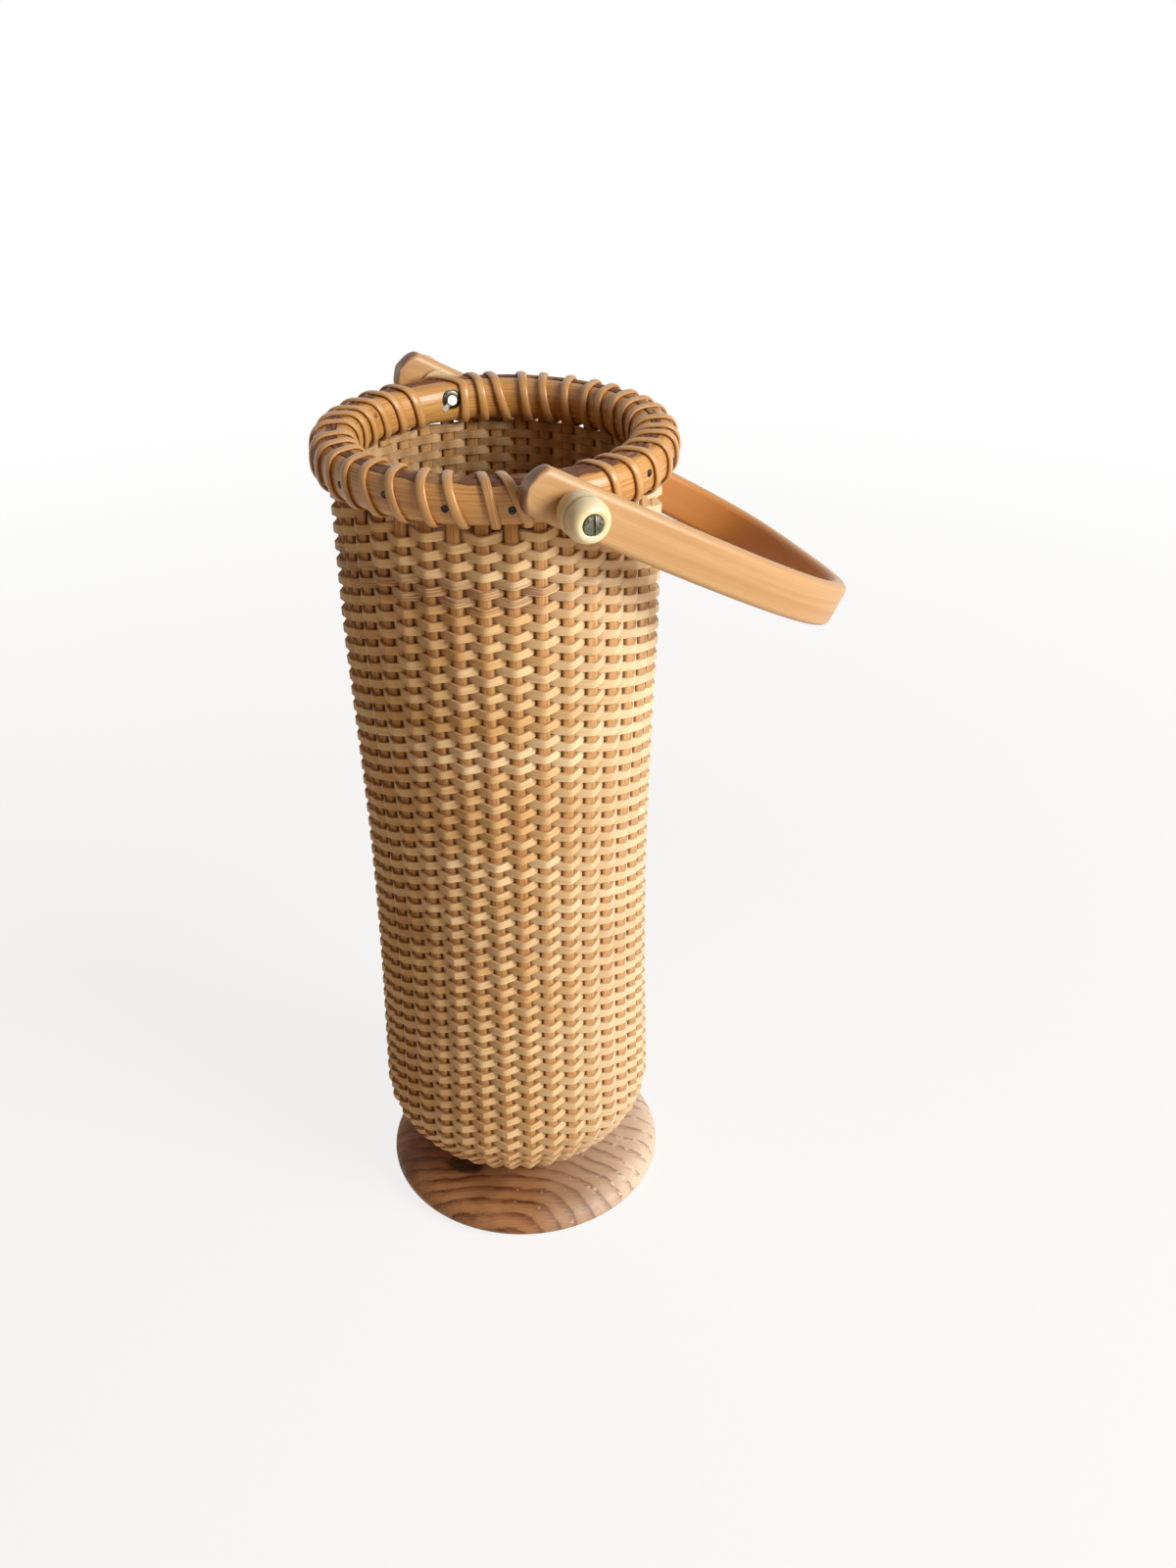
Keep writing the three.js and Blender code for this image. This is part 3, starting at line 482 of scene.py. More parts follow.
def newTree(name, sizes):
    tree = bpy.data.node_groups.new(name, "GeometryNodeTree")
    tree.interface.new_socket("Geometry", in_out="INPUT", socket_type="NodeSocketGeometry")
    tree.interface.new_socket("Geometry", in_out="OUTPUT", socket_type="NodeSocketGeometry")
    for label, value in sizes.items():
        kind = "NodeSocketInt" if isinstance(value, int) else "NodeSocketFloat"
        tree.interface.new_socket(label, in_out="INPUT", socket_type=kind).default_value = value
    add = partial(addNode, tree)
    return tree, add, add("GroupInput").outputs


def endTree(add, geometry, material):
    real = add("RealizeInstances", {"Geometry": geometry})
    add("GroupOutput", {"Geometry": add("SetMaterial", {"Geometry": real, "Material": material})})


# A place or a direction in the plane of a section, turned about the basket's axis
def aroundAxis(add, out, height, cosine, sine):
    x, y = [add("MULTIPLY", [out, part]) for part in (cosine, sine)]
    return add("CombineXYZ", [x, y, height])


# A strand of cane through the given places, facing along the normals; its material reads the marks
def layStrand(add, points, position, normal, marks):
    line = add("ResampleCurve", {"Curve": add("CurvePrimitiveLine"), "Count": points}, mode="COUNT")
    placed = add("SetPosition", {"Geometry": line, "Position": position})
    strand = add("SetCurveNormal", {"Curve": placed, "Normal": normal}, mode="FREE")
    for label, value in marks.items():
        strand = add("StoreNamedAttribute", {"Geometry": strand, "Name": label, "Value": value})
    return strand


# Copies of a mesh round the basket's axis, each at a stray height, with a tone of its own if that is named
def copiesTree(name, material, toneName=None):
    tree, add, given = newTree(name, {
        "count": 1, "firstAngle": 0.0, "step": 0.0, "height": 0.0, "stray": 0.0, "seed": 0})
    line = add("MeshLine", {"Count": given["count"], "Offset": (0.0, 0.0, 0.0)})
    index = add("InputIndex")
    low = add("MULTIPLY", [given["stray"], -1.0])
    stray = add("RandomValue", [low, given["stray"], index, given["seed"]])
    height = add("ADD", [given["height"], stray])
    points = add("SetPosition", {"Geometry": line, "Position": add("CombineXYZ", {"Z": height})})
    angle = add("MULTIPLY_ADD", [index, given["step"], given["firstAngle"]])
    copies = add("InstanceOnPoints", {
        "Points": points, "Instance": given["Geometry"], "Rotation": add("CombineXYZ", {"Z": angle})})
    if toneName:
        tone = add("RandomValue", [0.0, 1.0, index, given["seed"]])
        copies = add("StoreNamedAttribute", {
            "Geometry": copies, "Name": toneName, "Value": tone}, domain="INSTANCE")
    endTree(add, copies, material)
    return tree


# Runs a tree on a base mesh and keeps the result as a plain mesh
def pieceFromTree(name, base, tree, sizes):
    carrier = newPiece(name + "Carrier", base)
    nodes = carrier.modifiers.new("nodes", "NODES")
    nodes.node_group = tree
    for item in tree.interface.items_tree:
        if item.in_out == "INPUT" and item.name in sizes:
            nodes[item.identifier] = sizes[item.name]
    mesh = plainMesh(carrier)
    carrier.modifiers.remove(nodes)
    bpy.data.objects.remove(carrier)
    return newPiece(name, mesh)


def lineMesh(name, points):
    mesh = bpy.data.meshes.new(name)
    mesh.from_pydata(points, [(i, i + 1) for i in range(len(points) - 1)], [])
    return mesh


# Body curve through the middle of the staves: a rounded bottom, then the measured wall of heights and radii
body = {
    "plugRadius": 22.5, "grooveHeight": 18.2, "sweep": 26.1, "rise": 27.0, "roundness": 1.62, "firstRow": 3.2,
    "bottomSteps": 22, "wallStep": 4.0,
    "wall": [(45.2, 48.6), (75, 48.0), (104, 47.5), (130, 47.4), (151, 47.6), (175, 48.15), (199, 49.0),
             (220, 49.8), (238, 50.4), (262, 50.6), (284, 50.8), (298, 50.8)],
}


# a smooth curve through the measured radii
def wallRadius(height):
    wall = body["wall"]
    spot = max(i for i in range(len(wall) - 1) if wall[i][0] <= height or i == 0)
    (z1, r1), (z2, r2) = wall[spot], wall[spot + 1]
    r0 = wall[max(spot - 1, 0)][1]
    r3 = wall[min(spot + 2, len(wall) - 1)][1]
    t = (height - z1) / (z2 - z1)
    return 0.5 * (2 * r1 + (r2 - r0) * t + (2 * r0 - 5 * r1 + 4 * r2 - r3) * t * t
                  + (3 * r1 - r0 - 3 * r2 + r3) * t ** 3)


def bodyCurve(start, top):
    curve = []
    for i in range(body["bottomSteps"] + 1):
        left, out = squaredRound(start + (turn / 4 - start) * i / body["bottomSteps"], body["roundness"])
        z = body["grooveHeight"] + body["rise"] * (1 - left)
        curve.append((body["plugRadius"] + body["sweep"] * out, z))
    height = curve[-1][1]
    steps = round((top - height) / body["wallStep"])
    for i in range(1, steps + 1):
        z = height + (top - height) * i / steps
        curve.append((wallRadius(z), z))
    return curve


# Woven wall: one cane goes round and round, over one stave and under the next; the odd number of staves
# makes each row swap sides with the one below
weave = {
    "rowPitch": 2.93, "width": 2.86, "thickness": 1.4, "edge": 0.12, "edgeSteps": 1,
    "lift": 1.9, "footLift": 1.36, "straightness": 0.975, "sag": 0.42, "pressed": 1.14, "steps": 8,
    "crease": 32.0, "lengthTurns": 1.3, "wander": 0.26, "uneven": 0.3, "top": 289.0, "pieces": 4, "seed": 11,
}


def weaveTree():
    lengths = ("rowPitch", "width", "thickness", "edge", "lift", "footLift", "sag", "wander", "uneven")
    numbers = ("steps", "edgeSteps", "straightness", "pressed", "lengthTurns", "seed")
    tree, add, given = newTree("cane weave", {
        "firstTurn": 0.0, "turns": 1.0, "staves": basket["staves"], "startAngle": firstStave,
        "footRadius": body["plugRadius"] * mm, "crease": math.radians(weave["crease"]),
        **{key: weave[key] * mm for key in lengths}, **{key: weave[key] for key in numbers}})
    profile = add("MeshToCurve", {"Mesh": given["Geometry"]})
    perTurn = add("MULTIPLY", [given["staves"], given["steps"]])
    points = add("MULTIPLY_ADD", [perTurn, given["turns"], 1.0])
    turnsHere = add("DIVIDE", [add("InputIndex"), perTurn])
    turns = add("ADD", [turnsHere, given["firstTurn"]])
    spin = add("MULTIPLY", [turns, turn])
    angle = add("ADD", [spin, given["startAngle"]])
    cosine, sine = [add(wave, [angle]) for wave in ("COSINE", "SINE")]

    # over and under: bent round each stave, straight from one to the next
    crossings = add("MULTIPLY", [turns, given["staves"]])
    swing = add("COSINE", [add("MULTIPLY", [crossings, math.pi])])
    eased = add("MULTIPLY", [swing, given["straightness"]])
    bent, mostBent = [add("ARCSINE", [value]) for value in (eased, given["straightness"])]
    over = add("DIVIDE", [bent, mostBent])

    # rows wander up and down a little; outside a stave the cane is beaten down, inside it rides up
    rise = add("MULTIPLY", [turns, given["rowPitch"]])
    wanderNoise = add("TexNoise", [turns, 9.0, 1.0], noise_dimensions="1D")
    wander = add("SUBTRACT", [wanderNoise, 0.5])
    level = add("MULTIPLY_ADD", [wander, given["wander"], rise])
    sag = add("MULTIPLY", [over, given["sag"]])
    length = add("SUBTRACT", [level, sag])
    spot = add("SampleCurve", {"Curves": profile, "Length": length}, mode="LENGTH").outputs
    at, up = [add("SeparateXYZ", [spot[label]]).outputs for label in ("Position", "Tangent")]

    # the wall is a little uneven, and the staves are thinned towards the plug
    unevenPlace = add("CombineXYZ", [cosine, sine, rise])
    unevenNoise = add("TexNoise", [unevenPlace, 5.0, 1.0])
    uneven = add("MULTIPLY", [add("SUBTRACT", [unevenNoise, 0.5]), given["uneven"]])
    lift = add("MapRange", [
        at["X"], given["footRadius"], basket["rimRadius"] * mm, given["footLift"], given["lift"]])
    offset = add("MULTIPLY_ADD", [over, lift, uneven])
    outRadius = add("MULTIPLY_ADD", [up["Z"], offset, at["X"]])
    down = add("MULTIPLY", [up["X"], -1.0])
    height = add("MULTIPLY_ADD", [down, offset, at["Z"]])
    position = aroundAxis(add, outRadius, height, cosine, sine)
    normal = aroundAxis(add, up["Z"], down, cosine, sine)

    # what the material reads: the tone of each length of cane, the way along it and its lift
    lengthNumber = add("FLOOR", [add("DIVIDE", [turns, given["lengthTurns"]])])
    tone = add("RandomValue", [0.0, 1.0, lengthNumber, given["seed"]])
    run = add("MULTIPLY", [spin, basket["rimRadius"] * mm])
    strand = layStrand(add, points, position, normal, {"caneTone": tone, "caneRun": run, "caneLift": over})

    flat = add("CurvePrimitiveQuadrilateral", {"Width": given["thickness"], "Height": given["width"]})
    rounded = add("FilletCurve", {
        "Curve": flat, "Count": given["edgeSteps"], "Radius": given["edge"]}, mode="POLY")
    share = add("DIVIDE", [add("SeparateXYZ", [add("InputPosition")]).outputs["Y"], given["width"]])
    fromMiddle = add("MULTIPLY", [share, 2.0])
    section = add("StoreNamedAttribute", {"Geometry": rounded, "Name": "caneAcross", "Value": fromMiddle})

    # between the staves, where rows cross, they are pressed into each other
    offWall = add("ABSOLUTE", [over])
    spread = add("MapRange", [offWall, 0.0, 0.6, given["pressed"], 1.0])
    cane = add("CurveToMesh", {"Curve": strand, "Profile Curve": section, "Scale": spread, "Fill Caps": True})
    gentle = add("Compare", [add("InputMeshEdgeAngle"), given["crease"]], "LESS_THAN")
    endTree(add, add("SetShadeSmooth", {"Geometry": cane, "Shade Smooth": gentle}, domain="EDGE"), weaverCane)
    return tree


firstTurnAngle = math.asin((body["firstRow"] / body["sweep"]) ** (body["roundness"] / 2))
wallCurve = [Vector((r, 0, z)) * mm for r, z in bodyCurve(firstTurnAngle, weave["top"])]
wallLength = sum((b - a).length for a, b in zip(wallCurve, wallCurve[1:]))
rows = wallLength / (weave["rowPitch"] * mm)
rowsEach = rows / weave["pieces"]
caneTree = weaveTree()
for number in range(weave["pieces"]):
    wovenPiece = pieceFromTree(f"woven_wall_{number + 1}", lineMesh("wall curve", wallCurve), caneTree,
                               {"firstTurn": number * rowsEach, "turns": rowsEach})
    fitPiece(wovenPiece, "basket", "woven_cane", "woven_wall")
print("woven wall:", round(rows, 1), "rows")


# Staves: one flat reed with eased edges, turned about the axis
stave = {
    "width": 4.9, "thickness": 2.4, "footThickness": 1.75, "crowding": 0.72, "top": 297.4, "inPlug": 18.6,
    "squareness": 2.1, "sides": 16, "seed": 4,
}


def staveMesh():
    curve = [(stave["inPlug"], body["grooveHeight"])] + bodyCurve(firstTurnAngle, stave["top"])
    angles = [turn * j / stave["sides"] for j in range(stave["sides"])]
    rings = []
    for i, (r, z) in enumerate(curve):
        before, after = curve[max(i - 1, 0)], curve[min(i + 1, len(curve) - 1)]
        along = Vector((after[0] - before[0], after[1] - before[1])).normalized()
        half = min(stave["width"], stave["crowding"] * stavePitch * r) / 2
        # thinned towards the plug, and between the hoops
        thinned = clamped((basket["rimRadius"] - r) / (basket["rimRadius"] - body["plugRadius"]))
        if z > weave["top"]:
            thinned = 1.0
        halfThick = (stave["thickness"] + (stave["footThickness"] - stave["thickness"]) * thinned) / 2
        ring = []
        for side, out in [squaredRound(angle, stave["squareness"]) for angle in angles]:
            ring.append(Vector((
                r + along.y * halfThick * out, half * side, z - along.x * halfThick * out)) * mm)
        rings.append(ring)
    mesh = sweptMesh("stave", rings)
    markPoints(mesh, "staveEdge", [abs(math.cos(angle)) for ring in rings for angle in angles])
    return mesh


staves = pieceFromTree("staves", staveMesh(), copiesTree("staves round the basket", reed, "staveTone"), {
    "count": basket["staves"], "firstAngle": firstStave, "step": stavePitch, "seed": stave["seed"]})
fitPiece(staves, "basket", "reed", *[f"stave_{i + 1:02d}" for i in range(basket["staves"])])
print("staves:", basket["staves"])


# Foot: a turned disc with a bullnose edge, a little off the basket's axis
foot = {
    "radius": 53.1, "thickness": 11.4, "topRound": 9.5, "underRound": 4.6, "dome": 0.5, "offCentre": 2.4,
    "segments": 160,
}


def footMesh():
    r, t, under, top = foot["radius"], foot["thickness"], foot["underRound"], foot["topRound"]
    profile = [(0, 0), (r * 0.5, 0)]
    profile += arc(r - under, under, under, under, -90, 0, 8)
    profile += arc(r - top, under, top, t - foot["dome"] - under, 0, 90, 14)[1:]
    profile += [((r - top) * k, t - foot["dome"] * k * k) for k in (0.8, 0.6, 0.4, 0.2, 0.0)]
    mesh = turnedMesh("foot", profile, foot["segments"])
    mesh.transform(Matrix.Translation((foot["offCentre"] * mm, 0, 0)))
    return mesh


footPiece = newPiece("foot", footMesh(), [footPine])
fitPiece(footPiece, "basket", "turned_pine", "foot_disc")
print("foot turned")


# Rim: two half-round hoops with the staves between them
rim = {
    "gap": 1.2, "thickness": 5.7, "half": 6.7, "squareness": 2.5,
    "sides": 20, "segments": 288, "uneven": 0.22,
    "joint": 1.1,  # azimuth of the scarf joint, at the back
}


# half a section, from its top to its foot, as places out from the rim's middle and up
def hoopSection(lift):
    section = []
    for i in range(rim["sides"] + 1):
        out, up = squaredRound(math.radians(90 - 180 * i / rim["sides"]), rim["squareness"])
        section.append((rim["gap"] + (rim["thickness"] + lift) * out, (rim["half"] + lift) * up))
    return section


def hoopMesh(name, side):
    rings = []
    for i in range(rim["segments"]):
        angle = turn * i / rim["segments"] + rim["joint"]
        wave = rim["uneven"] * (math.sin(3 * angle + side) + math.sin(7 * angle + 2 * side) * 0.6) * 0.5
        ring = []
        for out, up in hoopSection(0.0):
            r = basket["rimRadius"] + side * (out - max(wave, 0) * (out - rim["gap"]) / rim["thickness"])
            ring.append(aroundZ(r, angle, basket["rimHeight"] + up + min(wave, 0) * 0.8))
        rings.append(ring)
    return sweptMesh(name, rings, joined=True)


# Lays a mesh turned about Z along the pivots' line: -1 to the front, 1 to the back
def alongPivot(mesh, side):
    lay = Matrix.Rotation(-side * math.pi / 2, 4, "X")
    mesh.transform(Matrix.Translation((0, 0, basket["pivotHeight"] * mm)) @ lay)
    return mesh


# Pivots: faces are distances from the basket's axis, and the waist is the knob's groove, as places along it
# with their depths
pivot = {
    "sides": {"front": -1, "back": 1}, "segments": 72, "shank": 1.6, "hole": 1.9, "play": 0.2,
    "recess": 3.4, "recessFrom": 40.0, "bore": (55.0, 70.0),
    "burr": 3.15, "burrSeat": 45.4, "innerFace": 43.9, "burrSunk": 0.35, "burrEdge": 0.3,
    "burrPlay": 0.15, "burrSegments": 48, "drillSegments": 40,
    "washerFace": 58.0, "washer": 6.5, "washerThickness": 1.4, "washerEdge": 0.5,
    "knobFace": 66.4, "knob": 6.8, "knobLength": 15.5, "collar": 9.4,
    "footRadius": 3.0, "swell": 6.5, "endFlat": 4.0, "mouthWider": 0.25, "mouthDepth": 0.2,
    "waist": [(-1.4, 0.04), (-0.7, 0.2), (0.0, 0.55), (0.6, 0.25)], "shoulder": 0.9,
    "head": 3.0, "headSeat": 80.9, "headThickness": 1.5, "headDome": 0.45, "headPlay": 0.25,
    "slot": 0.85, "slotDepth": 0.8,
    "sawnProud": 0.7, "sawnSlant": 0.3, "sawnLength": 1.0, "brightLength": 3.0,
    "tagThickness": 0.5, "tagProud": 0.3, "tagSlant": (0.66, 0.75),
    "tag": [(-0.9, -0.9, 0.8), (-1.7, -1.8, 0.7), (-2.5, -2.7, 0.95), (-3.1, -3.3, 0.9)],
}


# A drill for each pivot, to cut its hole with
def drills(radius, start, end):
    profile = [(0, start), (radius, start), (radius, end), (0, end)]
    return [newPiece("drill", alongPivot(turnedMesh("drill", profile, pivot["drillSegments"]), side))
            for side in pivot["sides"].values()]


outerHoop = newPiece("outer_hoop", hoopMesh("outer hoop", 1), [hoopRattan])
innerHoop = newPiece("inner_hoop", hoopMesh("inner hoop", -1), [hoopRattan])
cutAway(innerHoop, drills(pivot["recess"], pivot["recessFrom"], pivot["burrSeat"]))
for hoop, node in ((outerHoop, "outer_rim_hoop"), (innerHoop, "inner_rim_hoop")):
    crisp(hoop.data)
    fitPiece(hoop, "basket", "hoop_rattan", node)
print("hoops bent")


# Bark strip over the gap between the hoops, bent down over the outer hoop's shoulder and widest at the front
cap = {
    "inner": -2.2, "outer": 4.6, "narrow": 0.42, "thickness": 1.7, "proud": 0.22, "rough": 0.16,
    "chip": 0.3, "tear": 0.4, "joint": 1.3, "widest": -1.85, "segments": 480, "across": 10,
}


# the hoops' own height at a place across the rim
def hoopTop(out):
    past = clamped((abs(out) - rim["gap"]) / rim["thickness"])
    return rim["half"] * (1 - past ** rim["squareness"]) ** (1 / rim["squareness"])


def capMesh():
    rings = []
    for i in range(cap["segments"]):
        angle = turn * i / cap["segments"] + cap["joint"]
        tear = math.sin(7 * angle) + 0.7 * math.sin(19 * angle + 1) + 0.6 * math.sin(43 * angle + 2)
        chip = math.sin(5 * angle + 2) + 0.8 * math.sin(23 * angle) + 0.6 * math.sin(51 * angle + 1)
        wide = cap["narrow"] + (1 - cap["narrow"]) * max(0.0, math.cos(angle - cap["widest"])) ** 2
        first = (cap["inner"] + cap["chip"] * chip) * wide
        last = (cap["outer"] + cap["tear"] * tear) * wide
        upper, lower = [], []
        for j in range(cap["across"] + 1):
            k = 2 * j / cap["across"] - 1
            out = first + (last - first) * j / cap["across"]
            top = basket["rimHeight"] + hoopTop(out)
            rough = cap["rough"] * (math.sin(17 * angle + 5 * k) + 0.7 * math.sin(41 * angle - 3 * k))
            upper.append((out, top + cap["proud"] + rough * (1 - k * k)))
            lower.append((out, top - cap["thickness"]))
        rings.append([aroundZ(basket["rimRadius"] + out, angle, z) for out, z in upper + lower[::-1]])
    return sweptMesh("cap strip", rings, joined=True)


capStrip = newPiece("cap_strip", capMesh(), [bark])
crisp(capStrip.data)
fitPiece(capStrip, "basket", "cap_strip", "rim_cap_strip")
print("cap strip laid")


# Lashing: a cane coiled round both hoops, through every gap between staves that the pivots leave free
lashing = {
    "width": 3.2, "thickness": 1.2, "lift": 0.68, "steps": 44, "sides": 10,
    "loose": 2.2, "ease": 0.14, "seed": 3,
    # first and last gap, and gaps that it starts early by
    "runs": {"right": (1, 18, 0.0), "left": (19, 36, 1.1)},
}


def lashingTree():
    tree, add, given = newTree("cane lashing", {
        "firstAngle": 0.0, "loops": 16, "early": 0.0, "pitch": stavePitch,
        "loose": math.radians(lashing["loose"]),
        **{key: lashing[key] * mm for key in ("width", "thickness")},
        **{key: lashing[key] for key in ("steps", "sides", "ease", "seed")}})
    outline = add("MeshToCurve", {"Mesh": given["Geometry"]})
    points = add("MULTIPLY_ADD", [given["loops"], given["steps"], 1.0])
    loops = add("DIVIDE", [add("InputIndex"), given["steps"]])
    loop = add("FLOOR", [loops])
    part = add("SUBTRACT", [loops, loop])

    # it crosses under the hoops straight and moves on to the next gap up, over and down
    late = add("SUBTRACT", [1.0, given["ease"]])
    moved = add("MapRange", [part, given["ease"], late, 0.0, 1.0])
    count = add("ADD", [loop, moved])
    # a first loop that starts early goes up straight, beside the pivot, and leans over the top
    isFirst = add("LESS_THAN", [loop, 0.5])
    isEarly = add("GREATER_THAN", [given["early"], 0.5])
    leans = add("MULTIPLY", [isFirst, isEarly])
    behind = add("MULTIPLY", [given["early"], -1.0])
    leaning = add("MapRange", [part, 0.4, 0.8, behind, 1.0])
    gaps = add("Mix", [leans, count, leaning])
    even = add("MULTIPLY_ADD", [gaps, given["pitch"], given["firstAngle"]])
    # the others lie a little loose
    bow = add("SINE", [add("MULTIPLY", [moved, math.pi])])
    looseBow = add("MULTIPLY", [bow, given["loose"]])
    slack = add("Mix", [leans, looseBow, 0.0])
    sideways = add("RandomValue", [-1.0, 1.0, loop, given["seed"]])
    angle = add("MULTIPLY_ADD", [sideways, slack, even])
    cosine, sine = [add(wave, [angle]) for wave in ("COSINE", "SINE")]

    spot = add("SampleCurve", {"Curves": outline, "Factor": part}, mode="FACTOR").outputs
    at, along = [add("SeparateXYZ", [spot[label]]).outputs for label in ("Position", "Tangent")]
    outward = add("MULTIPLY", [along["Z"], -1.0])
    position = aroundAxis(add, at["X"], at["Z"], cosine, sine)
    normal = aroundAxis(add, outward, along["X"], cosine, sine)
    tone = add("TexNoise", [loops, 0.8, 1.0], noise_dimensions="1D")
    run = add("MULTIPLY", [loops, 0.06])  # 60 mm of cane in a loop
    strand = layStrand(add, points, position, normal, {"caneTone": tone, "caneRun": run})

    circle = add("CurvePrimitiveCircle", {"Resolution": given["sides"], "Radius": 1.0})
    spread = add("InputPosition")
    across = add("SeparateXYZ", [spread]).outputs["Y"]
    crossed = add("StoreNamedAttribute", {"Geometry": circle, "Name": "caneAcross", "Value": across})
    sized = add("VectorMath", [spread, add("CombineXYZ", [given["thickness"], given["width"]])], "MULTIPLY")
    section = add("SetPosition", {"Geometry": crossed, "Position": add("VectorMath", [sized, 0.5], "SCALE")})
    cane = add("CurveToMesh", {"Curve": strand, "Profile Curve": section, "Fill Caps": True})
    endTree(add, add("SetShadeSmooth", {"Geometry": cane}), lashingCane)
    return tree


# from the crossing under the hoops: in, up, over, out and down again
def lashingOutline():
    outer = hoopSection(lashing["lift"])
    inner = [(-out, up) for out, up in reversed(outer)]
    under = (0.0, -rim["half"] - lashing["lift"])
    return [Vector((basket["rimRadius"] + out, 0, basket["rimHeight"] + up)) * mm
            for out, up in [under, *inner, *outer, under]]


lashTree = lashingTree()
for name, (first, last, early) in lashing["runs"].items():
    lash = pieceFromTree(f"lashing_{name}", lineMesh("lashing outline", lashingOutline()), lashTree, {
        "firstAngle": frontGap + first * stavePitch, "loops": last - first, "early": early})
    fitPiece(lash, "basket", "lashing_cane", "rim_lashing")
print("lashing wound")


# Rim nails: small dark heads in the outer hoop, one at every second stave; the CAD model has five of them
nail = {
    "count": 18, "inCad": 5, "head": 1.2, "dome": 0.35, "shank": 0.6, "length": 2.5, "everyStaves": 2,
    "firstStave": 2, "stray": 1.4, "seed": 8, "neck": 0.4, "headSunk": 0.3, "headProud": 0.05, "segments": 12,
}


def nailMesh():
    face = basket["rimRadius"] + rim["gap"] + rim["thickness"]
    tip, crown = face - nail["length"], face + nail["headProud"]
    profile = [(0, tip), (nail["shank"], tip), (nail["shank"], face - nail["neck"]),
               (nail["head"], face - nail["headSunk"])]
    profile += [(nail["head"] * k, crown + nail["dome"] * (1 - k * k)) for k in (1.0, 0.7, 0.35, 0.0)]
    mesh = turnedMesh("nail", profile, nail["segments"])
    mesh.transform(Matrix.Rotation(math.pi / 2, 4, "Y"))
    return mesh


nails = pieceFromTree("rim_nails", nailMesh(), copiesTree("nails round the rim", nailIron), {
    "count": nail["count"], "firstAngle": firstStave - nail["firstStave"] * stavePitch,
    "step": -nail["everyStaves"] * stavePitch, "height": basket["rimHeight"] * mm,
    "stray": nail["stray"] * mm, "seed": nail["seed"]})
fitPiece(nails, "basket", "nail_steel", *[f"rim_nail_{i + 1}" for i in range(nail["inCad"])])
print("nails driven:", nail["count"])


# On each pivot: washer, knob, slotted screw and the burr that its end is sawn off at
def knobMesh():
    base, r, hole, headSeat = [pivot[label] for label in ("knobFace", "knob", "hole", "headSeat")]
    waist, end = base + pivot["collar"], base + pivot["knobLength"]
    shoulder, seat = waist + pivot["shoulder"], pivot["head"] + pivot["headPlay"]
    footRadius, swell = pivot["footRadius"], pivot["swell"]
    profile = [(hole, base)]
    profile += arc(footRadius, base + swell, r - footRadius, swell, -90, 0, 12)
    profile += [(r - depth, waist + along) for along, depth in pivot["waist"]]
    profile += arc(pivot["endFlat"], shoulder, r - pivot["endFlat"], end - shoulder, 0, 90, 12)
    profile += [(seat + pivot["mouthWider"], end), (seat, end - pivot["mouthDepth"])]
    profile += [(seat, headSeat), (hole, headSeat)]
    return turnedMesh("knob", profile, pivot["segments"], closedRing=True)


def washerMesh():
    low, high = pivot["washerFace"], pivot["washerFace"] + pivot["washerThickness"]
    edge = pivot["washerEdge"]
    profile = [(pivot["hole"], low)] + arc(pivot["washer"] - edge, low + edge, edge, edge, -90, 0, 4)
    profile += arc(pivot["washer"] - edge, high - edge, edge, edge, 0, 90, 4) + [(pivot["hole"], high)]
    return turnedMesh("washer", profile, pivot["segments"], closedRing=True)


def screwPiece(name, side):
    end, seat = pivot["innerFace"] + pivot["play"], pivot["headSeat"] + pivot["play"]
    top = seat + pivot["headThickness"]
    profile = [(0, end), (pivot["shank"], end), (pivot["shank"], seat), (pivot["head"], seat),
               (pivot["head"], top - pivot["headDome"])]
    profile += [(pivot["head"] * k, top - pivot["headDome"] * k * k) for k in (0.9, 0.7, 0.45, 0.2, 0.0)]
    shank = turnedMesh(name, profile, pivot["segments"])
    for point in shank.vertices:
        if point.co.z < (pivot["innerFace"] + pivot["sawnLength"]) * mm:
            point.co.z -= pivot["sawnProud"] * mm + pivot["sawnSlant"] * side * point.co.y
    screw = newPiece(name, alongPivot(shank, side), [darkSteel, brightSteel])
    wide, long = pivot["slot"] / 2, pivot["head"] * 1.5
    corners = ((-wide, -long), (wide, -long), (wide, long), (-wide, long))
    rings = [[Vector((x, y, z)) * mm for x, y in corners] for z in (top - pivot["slotDepth"], top + 1)]
    cutAway(screw, [newPiece("slot", alongPivot(sweptMesh("slot", rings), side))])
    for face in screw.data.polygons:
        if abs(face.center.y) < (pivot["innerFace"] + pivot["brightLength"]) * mm:
            face.material_index = 1  # the sawn end is bright
    return screw


def burrMesh():
    low, high = pivot["innerFace"] + pivot["burrSunk"], pivot["burrSeat"]
    r, edge, inside = pivot["burr"], pivot["burrEdge"], pivot["shank"] + pivot["burrPlay"]
    profile = [(inside, low), (r - edge, low), (r, low + edge), (r, high), (inside, high)]
    return turnedMesh("burr", profile, pivot["burrSegments"], closedRing=True)


# the tag that the saw left, from places across and up from the pivot with half its width there
def tagMesh(side):
    sideways, down = pivot["tagSlant"]
    rings = []
    for across, up, half in pivot["tag"]:
        ring = []
        for wide, thick in ((-1, 0), (1, 0), (1, 1), (-1, 1)):
            y = side * (pivot["innerFace"] - pivot["tagProud"] + thick * pivot["tagThickness"])
            z = basket["pivotHeight"] + up - wide * half * down
            ring.append(Vector((across + wide * half * sideways, y, z)) * mm)
        rings.append(ring)
    return sweptMesh("sawn tag", rings)


